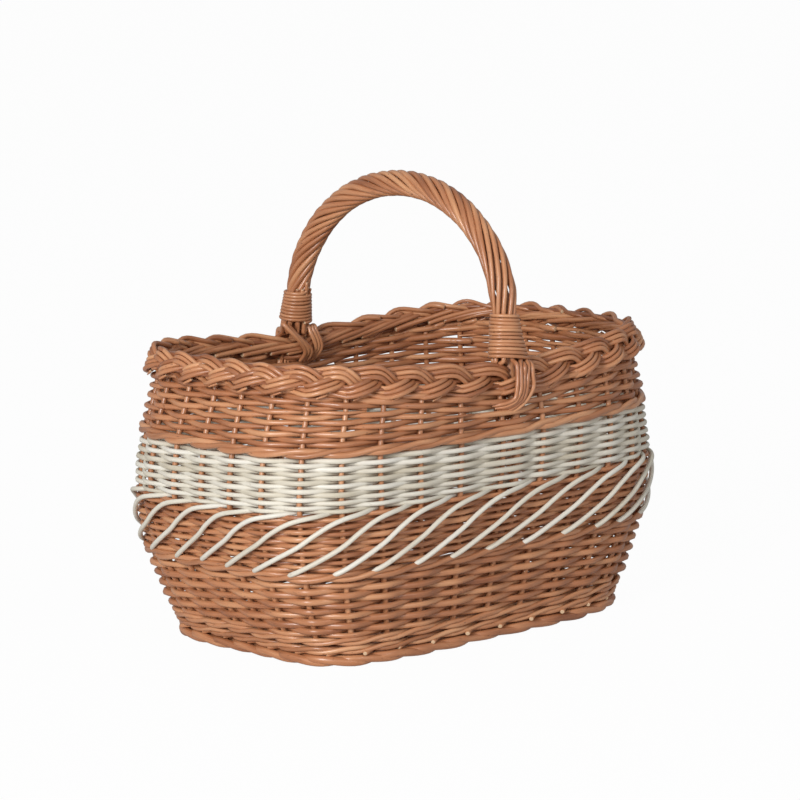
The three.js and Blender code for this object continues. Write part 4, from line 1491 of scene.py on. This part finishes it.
@dataclass
class Handle:
    """The cross handle: a bow with rods twisted round it, bound at both feet.

    The arch is half an ellipse that leans a little along the basket, on two straight legs.
    """

    wall: Wall
    uprights: Uprights
    near: Binding = NEAR_BINDING
    far: Binding = FAR_BINDING
    place_x: float = 4.0
    span: float = 247.0
    spring: float = 254.7
    rise: float = 104.7
    lean: float = 9.0
    low: float = 222.0
    smoothings: int = 6
    bow_tone: float = 0.4
    rods: int = 10
    thick_rod: float = 4.6
    thin_rod: float = 3.6
    far_thinning: float = 0.16
    far_thinning_length: float = 50.0
    thickening: tuple[float, float] = (10.0, 90.0)
    rod_spread: float = 0.05
    wander: float = 0.06
    near_tip_loss: float = 0.22
    far_tip_share: float = 0.8
    rod_rings: int = 230
    fine_rings: int = 400
    end_rings: int = 56
    lost_rings: int = 8
    spare_rings: int = 6
    near_joins: tuple[int, int] = (3, 7)
    far_joins: tuple[int, int] = (-8, -4)
    pitch: float = 122.0
    slow_pitch: float = 260.0
    quickening: tuple[float, float] = (35.0, 90.0)
    near_stop: tuple[float, float] = (-14.0, 10.0)
    far_stop: tuple[float, float] = (-16.0, 6.0)
    first_angle: float = math.radians(18.0)
    ring_out: tuple[float, ...] = (9.6, 7.6, 9.0, 8.3, 8.3, 7.2, 9.4)
    ring_side: tuple[float, ...] = (16.0, 7.9, 9.8, 8.3, 8.3, 7.4, 12.6)
    ring_near: tuple[float, float] = (20.0, 75.0)
    ring_far: float = 80.0
    ring_straightness: float = 0.7
    height_spread: float = 0.3
    place_spread: float = 0.2
    outer_near_turn: float = math.radians(38.0)
    outer_far_from: float = 0.4
    binding_rod: float = 2.8
    binding_press: float = 0.3
    binding_steps: int = 36
    binding_start: float = 0.5
    binding_wander: float = 0.3
    binding_spread: float = 0.06
    tip_climb: tuple[float, float] = (1.2, 9.0)
    tip_out: tuple[float, float] = (-0.4, 0.8)
    tip_rings: int = 5
    cut_angles: tuple[float, ...] = (150.0, 176.0, 201.0, 226.0)
    cut_half: float = 1.5
    cut_length: tuple[float, float] = (5.0, 10.0)
    cut_tuck: float = 6.0
    cut_lift: float = 1.6
    cut_lift_more: float = 1.2
    cut_rings: int = 7
    standing: tuple[tuple[float, float], ...] = (
        (-14.0, 217.0), (-10.2, 217.0), (-6.8, 217.0), (6.2, 238.0), (9.8, 238.0), (13.2, 236.0),
    )
    standing_half: float = 1.6
    standing_from: float = 172.0
    standing_lean: float = 0.6
    standing_depth: float = 1.5
    standing_bend: float = 4.5
    standing_bend_heights: tuple[float, float] = (200.0, 225.0)
    standing_draw: float = 0.25
    standing_draw_heights: tuple[float, float] = (205.0, 238.0)
    standing_rings: int = 16
    seed: int = 41

    def _leg(self, foot: Foot) -> float:
        """Place of a leg on the wall."""
        return self.uprights.legs[1 if foot is Foot.NEAR else 0]

    def _top_of(self, binding: Binding) -> float:
        """Distance along the bow, from its lower end, to the top of a binding."""
        return binding.low - self.low + binding.turns * binding.pitch

    def _foot_point(self, foot: Foot, height: np.ndarray) -> np.ndarray:
        """Middle of the leg at heights below the springing. It leans in from the wall to the arch.

        Args:
            foot: The foot of the handle.
            height: Heights to work out.

        Returns:
            Points on the straight line from the wall's rim to the arch, or on the wall below it.
        """
        level = np.minimum(height, RIM_LEVEL)
        wall_point, _ = self.wall.at(np.full_like(level, self._leg(foot)), level)
        share = np.clip((height - RIM_LEVEL) / (self.spring - RIM_LEVEL), 0.0, 1.0)[:, None]
        x = np.full_like(height, self.place_x)
        y = np.full_like(height, foot.value * self.span / 2)
        point = wall_point * (1 - share) + np.stack([x, y, height], axis=-1) * share
        point[:, 2] = height
        return point

    def path(self, low: float, count: int) -> np.ndarray:
        """Middle of the bow from a height on the near leg, over the arch, to that height on the far one.

        Args:
            low: Height at which it starts and ends.
            count: How many places it gets, evenly far apart.

        Returns:
            Points along the bow.
        """
        leg_heights = np.linspace(low, self.spring, 30)[:-1]
        turn = np.linspace(0.0, math.pi, 90)
        x = self.place_x + self.lean * np.sin(turn)
        y = -self.span / 2 * np.cos(turn)
        z = self.spring + self.rise * np.sin(turn)
        near_leg = self._foot_point(Foot.NEAR, leg_heights)
        far_leg = self._foot_point(Foot.FAR, leg_heights)[::-1]
        points = np.vstack([near_leg, np.stack([x, y, z], axis=-1), far_leg])
        for _ in range(self.smoothings):
            points[1:-1] = (points[:-2] + 2 * points[1:-1] + points[2:]) / 4
        arc = distances(points)
        return resampled(np.linspace(0.0, arc[-1], count), arc, points)

    def _outward(self, bow: np.ndarray) -> np.ndarray:
        """Directions square to the bow, away from the arch's inside."""
        run = unit(np.gradient(bow, axis=0))
        return unit(np.cross(np.broadcast_to(ALONG_X, run.shape), run))

    def _rings(self, count: int) -> Rings:
        """The rings round the bow above the tails.

        They are wide under the bindings' lower ends, the rods are thin at the near foot, and the twist
        stands still in the bindings.

        Args:
            count: How many rings.

        Returns:
            The rings, from the near end to the far one.
        """
        bow = self.path(self.low, count)
        arc = distances(bow)
        last = arc[-1]
        near_top, far_top = self._top_of(self.near), self._top_of(self.far)
        slow, quick = 1 / self.slow_pitch, 1 / self.pitch
        rate = slow + (quick - slow) * step_beyond(near_top, self.quickening, arc)
        rate = rate * step_beyond(near_top, self.near_stop, arc)
        rate = rate * step_beyond(far_top, self.far_stop, last - arc)
        steps = np.linalg.norm(np.diff(bow, axis=0), axis=1)
        twist = FULL_TURN * np.concatenate([[0.0], np.cumsum((rate[1:] + rate[:-1]) / 2 * steps)])
        near_knots = [near_top + self.ring_near[0], near_top + self.ring_near[1]]
        knots = np.array([0.0, near_top, *near_knots, last - self.ring_far, last - far_top, last])
        half_out = eased(knots, np.array(self.ring_out), arc, self.ring_straightness)
        half_side = eased(knots, np.array(self.ring_side), arc, self.ring_straightness)
        thickening = step_beyond(near_top, self.thickening, arc)
        thick = self.thin_rod + (self.thick_rod - self.thin_rod) * thickening
        thick = thick * (1 - self.far_thinning * step_up(last - self.far_thinning_length, last, arc))
        return Rings(bow, self._outward(bow), arc, twist, half_out, half_side, thick / 2)

    def fill(self, rods: Rods) -> None:
        """Adds the twisted rods with their ends.

        The curve of an end runs on to two rings, so that it takes up their direction, and stops short
        of the rings that are kept.

        Args:
            rods: The rods of the piece, to which these are added.
        """
        chance = np.random.default_rng(self.seed)
        kept = slice(self.lost_rings, -self.lost_rings)
        near_joins, far_joins = list(self.near_joins), list(self.far_joins)
        rings = self._rings(self.rod_rings)
        numbers = np.arange(float(self.rod_rings))
        bow, half = rings.bow, rings.half_rod
        angles = self.first_angle + FULL_TURN * np.arange(self.rods) / self.rods
        near_ends = self._ends(Foot.NEAR, angles + rings.twist[0], chance)
        far_ends = self._ends(Foot.FAR, angles + rings.twist[-1], chance)
        for number in range(self.rods):
            wander = self.wander * Waver(seed=500 + number, slowest=0.01, fastest=0.05).at(numbers)
            angle = angles[number] + rings.twist + wander
            ring = around(bow, rings.out, rings.half_out, rings.half_side, angle)
            before = through(np.vstack([near_ends[number][::-1], ring[near_joins]]), self.end_rings)
            after = through(np.vstack([ring[far_joins], far_ends[number]]), self.end_rings)
            before, after = before[: -self.spare_rings], after[self.spare_rings :]
            points = np.vstack([before, ring[kept], after])
            near_middle = np.broadcast_to(bow[0], before.shape)
            middle = np.vstack([near_middle, bow[kept], np.broadcast_to(bow[-1], after.shape)])
            own = chance.normal(1.0, self.rod_spread)
            near_half = half[0] * (1 - self.near_tip_loss * np.linspace(1.0, 0.0, len(before)))
            far_half = half[-1] * np.linspace(1.0, self.far_tip_share, len(after))
            widths = np.concatenate([near_half, half[kept], far_half]) * own
            rods.add(points, unit(points - middle), widths, widths, float(chance.uniform()))

    def _groups(self, foot: Foot, angles: np.ndarray) -> list[tuple[np.ndarray, Tail]]:
        """Which rods go which way below a binding.

        Args:
            foot: The foot of the handle.
            angles: Each rod's angle round the bow where it leaves the binding.

        Returns:
            For each tail the numbers of its rods, from the left to the right.
        """
        side = np.sin(angles)
        if foot is Foot.NEAR:
            outside = np.cos(angles - self.outer_near_turn) > 0.0
        else:
            outside = np.cos(angles) > self.outer_far_from
        outer, inner = np.flatnonzero(outside), np.flatnonzero(~outside)
        outer, inner = outer[np.argsort(side[outer])], inner[np.argsort(side[inner])]
        if foot is Foot.NEAR:
            return [(outer, OUTER_NEAR), (inner, INNER_NEAR)]
        return [(outer, OUTER_FAR), (inner[:3], CROSSING_FAR), (inner[3:], CURVING_FAR)]

    def _ends(self, foot: Foot, angles: np.ndarray, chance: np.random.Generator) -> list[np.ndarray]:
        """Places that the twisted rods' ends pass below a binding, from the top down.

        Args:
            foot: The foot of the handle.
            angles: Each rod's angle round the bow where it leaves the binding.
            chance: Source of small differences.

        Returns:
            For each rod, points over the border's outer or inner face down to its tucked end.
        """
        ends = [np.zeros((0, 3))] * len(angles)
        for members, tail in self._groups(foot, angles):
            for index, number in enumerate(members):
                lane = index - (len(members) - 1) / 2
                points = []
                for height, reach, middle, room, drop in tail.steps:
                    z = height - drop * lane + chance.normal(0.0, self.height_spread)
                    base, normal = self.wall.at(np.array([self._leg(foot)]), np.array([min(z, RIM_LEVEL)]))
                    spot = base[0] + normal[0] * (reach + chance.normal(0.0, self.place_spread))
                    swell = tail.swelling(height) if index == len(members) - 1 else 0.0
                    x = self.place_x + middle + lane * room + swell
                    points.append([x + chance.normal(0.0, self.place_spread), spot[1], z])
                ends[number] = np.array(points)
        return ends

    def build_bow(self) -> bpy.types.Object:
        """Makes the bow inside the twisted rods, from tip to tip."""
        rods = Rods(sides=16)
        bow = self.path(self.uprights.bow_tip_level, 220)
        half = np.array([self.uprights.bow_radius(float(height)) for height in bow[:, 2]])
        rods.add(bow, self._outward(bow), half, half, self.bow_tone)
        return rods.build("handle_bow_rod")

    def build_rods(self) -> bpy.types.Object:
        """Makes the rods twisted round the bow, with the short ones at the far foot."""
        rods = Rods(sides=12)
        self.fill(rods)
        self._add_cut_ends(rods)
        self._add_standing_ends(rods)
        return rods.build("twisted_handle_rods")

    def _add_cut_ends(self, rods: Rods) -> None:
        """Adds the cut ends that stand out above the far binding, on the side of the arch's inside.

        Args:
            rods: The rods of the piece, to which these are added.
        """
        chance = np.random.default_rng(self.seed + 3)
        rings = self._rings(self.fine_rings)
        left = rings.arc[-1] - rings.arc
        top = self._top_of(self.far)
        for angle in np.radians(self.cut_angles):
            length = chance.uniform(*self.cut_length)
            along = np.linspace(top - self.cut_tuck, top + length, self.cut_rings)
            spot = np.searchsorted(-left, -along)
            lift = self.cut_lift + self.cut_lift_more * np.linspace(0.0, 1.0, self.cut_rings)
            middle, half_out, half_side = rings.bow[spot], rings.half_out[spot], rings.half_side[spot]
            points = around(middle, rings.out[spot], half_out + lift, half_side + lift, angle)
            rods.add(points, unit(points - middle), self.cut_half, self.cut_half, float(chance.uniform()))

    def _add_standing_ends(self, rods: Rods) -> None:
        """Adds the ends of rods that stand in the weave beside the far leg, some up to the binding.

        Args:
            rods: The rods of the piece, to which these are added.
        """
        chance = np.random.default_rng(self.seed + 4)
        for shift, top in self.standing:
            height = np.linspace(self.standing_from, top, self.standing_rings)
            level = np.minimum(height, RIM_LEVEL)
            wall_point, normal = self.wall.at(np.full_like(height, self._leg(Foot.FAR)), level)
            lean = chance.normal(0.0, self.standing_lean) * np.linspace(-1.0, 1.0, self.standing_rings)
            bend = self.standing_bend * step_up(*self.standing_bend_heights, height)
            points = wall_point - normal * (self.standing_depth + bend)[:, None]
            drawn = self.standing_draw * step_up(*self.standing_draw_heights, height)
            points[:, 0] += shift * (1 - drawn) + lean
            points[:, 2] = height
            rods.add(points, -normal, self.standing_half, self.standing_half, float(chance.uniform()))

    def build_binding(self, foot: Foot) -> bpy.types.Object:
        """Makes one binding: a rod wound close round the twisted rods, square to the bow.

        Args:
            foot: The foot of the handle.

        Returns:
            The binding's piece.
        """
        binding = self.near if foot is Foot.NEAR else self.far
        rings = self._rings(self.fine_rings)
        if foot is Foot.FAR:
            rings = rings.backwards()
        turns, pitch, arc = binding.turns, binding.pitch, rings.arc
        first = binding.low - self.low
        count = self.binding_steps * turns + 1
        angle = math.pi - np.linspace(0.0, FULL_TURN * turns, count)
        along = first + pitch * (self.binding_start + np.linspace(0.0, turns, count))
        centre = resampled(along, arc, rings.bow)
        away = unit(resampled(along, arc, rings.out))
        over = np.interp(along, arc, rings.half_rod) + self.binding_rod / 2 - self.binding_press
        half_out = np.interp(along, arc, rings.half_out) + over
        half_side = np.interp(along, arc, rings.half_side) + over
        outward = away * np.cos(angle)[:, None] + ALONG_X * np.sin(angle)[:, None]
        points = around(centre, away, half_out, half_side, angle)
        wander = Waver(seed=80 + turns, slowest=0.02, fastest=0.2).at(along)
        slope = np.interp(along, [first, first + turns * pitch], binding.slopes)
        points[:, 2] += self.binding_wander * wander - slope * (points[:, 0] - centre[:, 0])
        tip = points[-1] + UP * np.linspace(*self.tip_climb, self.tip_rings)[:, None]
        tip = tip + outward[-1] * np.linspace(*self.tip_out, self.tip_rings)[:, None]
        points = np.vstack([points[:-2], tip])
        outward = np.vstack([outward[:-2], np.broadcast_to(outward[-1], tip.shape)])
        wave = Waver(seed=70 + turns, slowest=0.02, fastest=0.1).at(np.arange(len(points)) * 0.1)
        half = self.binding_rod / 2 * (1 + self.binding_spread * wave)
        rods = Rods(sides=10)
        rods.add(points, outward, half, half, binding.tone)
        return rods.build(binding.name)


@dataclass
class Bottom:
    """The woven bottom: sticks along the basket, with close rods over and under them in turn."""

    wall: Wall
    height: float = 9.0
    stick: float = 7.0
    stick_bend: float = 0.5
    stick_over: float = 1.5
    sticks: int = 6
    spacing: float = 34.0
    rod: float = 3.5
    rod_bend: float = 0.25
    pitch: float = 3.55
    edge: float = 8.6
    end_room: float = 2.0
    seed: int = 51

    def _lines(self) -> np.ndarray:
        """Distances of the sticks from the long middle line."""
        return (np.arange(self.sticks) - (self.sticks - 1) / 2) * self.spacing

    def _reach(self, at: float, axis: int) -> float:
        """How far the bottom reaches along X (axis 0) or Y (axis 1) beside a line."""
        angle = np.linspace(0.0, math.pi / 2, 400)
        points, normal = self.wall.by_angle(angle, np.full_like(angle, self.height))
        inner = points - normal * self.edge
        order = np.argsort(inner[:, 1 - axis])
        return float(np.interp(abs(at), inner[order, 1 - axis], inner[order, axis]))

    def build_sticks(self) -> bpy.types.Object:
        """Makes the sticks."""
        rods = Rods(sides=12)
        chance = np.random.default_rng(self.seed)
        for number, across in enumerate(self._lines()):
            half_length = self._reach(across, 0) + self.stick_over
            x = np.linspace(-half_length, half_length, 60)
            bend = self.stick_bend * Waver(seed=600 + number, slowest=0.002, fastest=0.02).at(x)
            centres = np.stack([x, across + bend, np.full_like(x, self.height)], axis=-1)
            half = self.stick / 2 * chance.normal(1.0, 0.03)
            rods.add(centres, np.broadcast_to(UP, centres.shape), half, half, chance.uniform())
        return rods.build("bottom_sticks")

    def build_weave(self) -> bpy.types.Object:
        """Makes the rods woven across the sticks. Each swings over and under them by eased steps."""
        rods = Rods(sides=8)
        chance = np.random.default_rng(self.seed + 1)
        rows = int(2 * (self._reach(0.0, 0) - self.end_room) / self.pitch)
        lines = self._lines()
        posts = np.concatenate([[lines[0] - self.spacing], lines, [lines[-1] + self.spacing]])
        for row in range(rows):
            x = (row - (rows - 1) / 2) * self.pitch
            half_width = self._reach(x, 1)
            y = np.linspace(-half_width, half_width, 48)
            side = np.where((np.arange(self.sticks + 2) + row) % 2 == 0, 1.0, -1.0)
            z = self.height + eased(posts, side * (self.stick + self.rod) / 2, y)
            bend = self.rod_bend * Waver(seed=700 + row, slowest=0.005, fastest=0.03).at(y)
            centres = np.stack([x + bend, y, z], axis=-1)
            half = self.rod / 2 * chance.normal(1.0, 0.06)
            rods.add(centres, np.broadcast_to(UP, centres.shape), half, half, chance.uniform())
        return rods.build("bottom_weave")


# The studio


@dataclass(frozen=True)
class Lamp:
    """A square lamp: where it hangs and the length of its side in metres, and its power in watts."""

    name: str
    spot: tuple[float, float, float]
    size: float
    power: float


def seen_as_white(
    tree: bpy.types.NodeTree,
    output: str,
    plain: str,
    seen: str,
    colour: tuple[float, float, float],
    share: float,
) -> bpy.types.Node:
    """Builds a surface that is white to the camera and has its own colour for all other rays.

    Args:
        tree: The node tree to fill.
        output: Type of the output node.
        plain: Type of the shader for other rays.
        seen: Type of the white shader for the camera.
        colour: Colour of the plain shader.
        share: How much of the white the camera sees.

    Returns:
        The plain shader's node.
    """
    tree.nodes.clear()
    path = tree.nodes.new("ShaderNodeLightPath")
    amount = tree.nodes.new("ShaderNodeMath")
    amount.operation = "MULTIPLY"
    amount.inputs[1].default_value = share
    other = tree.nodes.new(plain)
    other.inputs["Color"].default_value = (*colour, 1.0)
    white = tree.nodes.new(seen)
    white.inputs["Color"].default_value = (1.0, 1.0, 1.0, 1.0)
    white.inputs["Strength"].default_value = 1.0
    mixed = tree.nodes.new("ShaderNodeMixShader")
    end = tree.nodes.new(output)
    tree.links.new(path.outputs["Is Camera Ray"], amount.inputs[0])
    tree.links.new(amount.outputs[0], mixed.inputs["Fac"])
    tree.links.new(other.outputs[0], mixed.inputs[1])
    tree.links.new(white.outputs[0], mixed.inputs[2])
    tree.links.new(mixed.outputs[0], end.inputs["Surface"])
    return other


@dataclass
class Studio:
    """Camera, floor and soft light."""

    azimuth: float = math.radians(-42.93)
    elevation: float = math.radians(10.24)
    distance: float = 3.131
    aim_height: float = 0.13
    yaw: float = math.radians(0.06)
    pitch: float = math.radians(0.94)
    roll: float = math.radians(-1.01)
    lens: float = 171.8
    sensor: float = 36.0
    sight: tuple[float, float] = (0.05, 60.0)
    floor_reach: float = 8.0
    floor_paint: tuple[float, float, float] = (0.70, 0.69, 0.68)
    floor_seen: float = 0.97
    room_colour: tuple[float, float, float] = (0.96, 0.98, 1.0)
    room_strength: float = 0.4
    lamps: tuple[Lamp, ...] = (
        Lamp("key lamp", (-2.8, -1.15, 1.25), size=0.9, power=77.0),
        Lamp("fill lamp", (-0.2, -3.0, 1.5), size=1.0, power=13.0),
    )
    lamp_aim: tuple[float, float, float] = (0.0, 0.0, 0.15)

    def place_camera(self) -> None:
        """Puts the camera at the photograph's viewing angle."""
        a, e = self.azimuth, self.elevation
        aim = Vector((0.0, 0.0, self.aim_height))
        back = Vector((math.sin(a) * math.cos(e), -math.cos(a) * math.cos(e), math.sin(e)))
        spot = aim + back * self.distance
        forward = (aim - spot).normalized()
        right = forward.cross(Vector(UP)).normalized()
        up = right.cross(forward)
        forward = (forward + right * math.tan(self.yaw) + up * math.tan(self.pitch)).normalized()
        right = forward.cross(Vector(UP)).normalized()
        up = right.cross(forward)
        tilted_right = right * math.cos(self.roll) + up * math.sin(self.roll)
        tilted_up = up * math.cos(self.roll) - right * math.sin(self.roll)
        data = bpy.data.cameras.new("camera")
        data.lens = self.lens
        data.sensor_width = self.sensor
        data.clip_start, data.clip_end = self.sight
        camera = bpy.data.objects.new("camera", data)
        turn = Matrix((tilted_right, tilted_up, -forward)).transposed()
        camera.matrix_world = Matrix.Translation(spot) @ turn.to_4x4()
        bpy.context.scene.collection.objects.link(camera)
        bpy.context.scene.camera = camera

    def lay_floor(self) -> None:
        """Lays a wide pale floor, nearly white where the camera sees it, with a soft shadow."""
        mesh = bpy.data.meshes.new("floor")
        reach = self.floor_reach
        corners = [(-reach, -reach, 0.0), (reach, -reach, 0.0), (reach, reach, 0.0), (-reach, reach, 0.0)]
        mesh.from_pydata(corners, [], [(0, 1, 2, 3)])
        floor = bpy.data.objects.new("floor", mesh)
        bpy.context.scene.collection.objects.link(floor)
        material = bpy.data.materials.new("pale floor")
        material.use_nodes = True
        seen_as_white(
            material.node_tree,
            "ShaderNodeOutputMaterial",
            "ShaderNodeBsdfDiffuse",
            "ShaderNodeEmission",
            self.floor_paint,
            self.floor_seen,
        )
        mesh.materials.append(material)

    def light(self) -> None:
        """Lights the basket with a pale room and square lamps that face it."""
        world = bpy.data.worlds.new("room")
        bpy.context.scene.world = world
        world.use_nodes = True
        room = seen_as_white(
            world.node_tree,
            "ShaderNodeOutputWorld",
            "ShaderNodeBackground",
            "ShaderNodeBackground",
            self.room_colour,
            1.0,
        )
        room.inputs["Strength"].default_value = self.room_strength
        for lamp in self.lamps:
            data = bpy.data.lights.new(lamp.name, "AREA")
            data.shape = "SQUARE"
            data.size = lamp.size
            data.energy = lamp.power
            light = bpy.data.objects.new(lamp.name, data)
            light.location = lamp.spot
            aim = Vector(self.lamp_aim) - Vector(lamp.spot)
            light.rotation_euler = aim.to_track_quat("-Z", "Y").to_euler()
            bpy.context.scene.collection.objects.link(light)

    def build(self) -> None:
        """Sets up the whole studio."""
        self.place_camera()
        self.lay_floor()
        self.light()
        bpy.context.scene.view_settings.view_transform = "Standard"


# Putting the basket together


def dress(piece: bpy.types.Object, finish: WillowFinish, *nodes: str) -> None:
    """Finishes a piece that rides on the basket and stands for the named solids.

    Args:
        piece: The piece.
        finish: Its finish.
        nodes: The solids that it stands for.
    """
    finish.put_on(piece)
    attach(piece, "root")
    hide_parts(*nodes)
    log.info("%s: %d faces", piece.name, len(piece.data.polygons))


def numbered(name: str, count: int, digits: int = 1) -> list[str]:
    """Names of solids that are counted from 1."""
    return [f"{name}_{number:0{digits}d}" for number in range(1, count + 1)]


def main() -> None:
    """Builds the studio and the basket, from the foot up."""
    Studio().build()
    wall = Wall()
    uprights = Uprights(wall)

    foot = FootRope(wall, uprights, bottom=-1.1, height=11.8, thickness=6.7, slant=0.5, sides=12, seed=3)
    dress(foot.build("foot_rope"), BROWN, "foot_wale_lower", "foot_wale_upper")
    upsett = Wale(wall, uprights, bottom=9.8, height=15.0, thickness=3.9, rounds=2, slant=-1.0, seed=5)
    dress(upsett.build("upsett"), PALE, "upsett_wale")

    bottom = Bottom(wall)
    dress(bottom.build_sticks(), BROWN, *numbered("base_stick", bottom.sticks))
    dress(bottom.build_weave(), BROWN, "base_weave")
    dress(uprights.build(), PALE, *numbered("stake", wall.stake_count, digits=2))

    lower = Weave(
        wall, uprights, bottom=24.6, height=46.4, turns=10, thickness=4.8, tip_share=0.4, seed=101
    )
    fine = Weave(
        wall, uprights, bottom=80.6, height=46.4, turns=15, thickness=3.6, wander=0.2, flat=0.9, seed=102
    )
    white = Weave(
        wall, uprights, bottom=127.4, height=42.6, turns=12, thickness=3.7, thickness_spread=0.05,
        wander=0.15, flat=0.88, seed=103,
    )
    upper = Weave(
        wall, uprights, bottom=178.0, height=28.0, turns=6, thickness=4.45, seed=104, packs=(3, 4)
    )
    dress(lower.build("lower_randing"), BROWN, "lower_weave")
    dress(fine.build("fine_randing"), BROWN, "fine_weave")
    dress(white.build("white_randing"), WHITE, "white_band")
    dress(upper.build("upper_randing"), BROWN, "upper_weave")

    lower_wale = Wale(wall, uprights, bottom=71.2, height=9.8, thickness=4.9, slant=-0.9, seed=7)
    dress(lower_wale.build("lower_waling"), PALE, "lower_wale")
    upper_wale = Wale(wall, uprights, bottom=169.4, height=9.2, thickness=4.9, slant=-0.9, seed=9)
    dress(upper_wale.build("upper_waling"), PALE, "upper_wale")

    dress(SlantedRods(wall).build(), WHITE, "white_tail_rods")
    dress(Border(wall, uprights).build(), BROWN, *numbered("border_strand", 3))

    handle = Handle(wall, uprights)
    dress(handle.build_bow(), PALE, "handle_bow")
    dress(handle.build_rods(), BROWN, *numbered("handle_bundle", 4))
    dress(handle.build_binding(Foot.NEAR), PALE, "near_binding")
    dress(handle.build_binding(Foot.FAR), PALE, "far_binding")


if __name__ == "__main__":
    main()
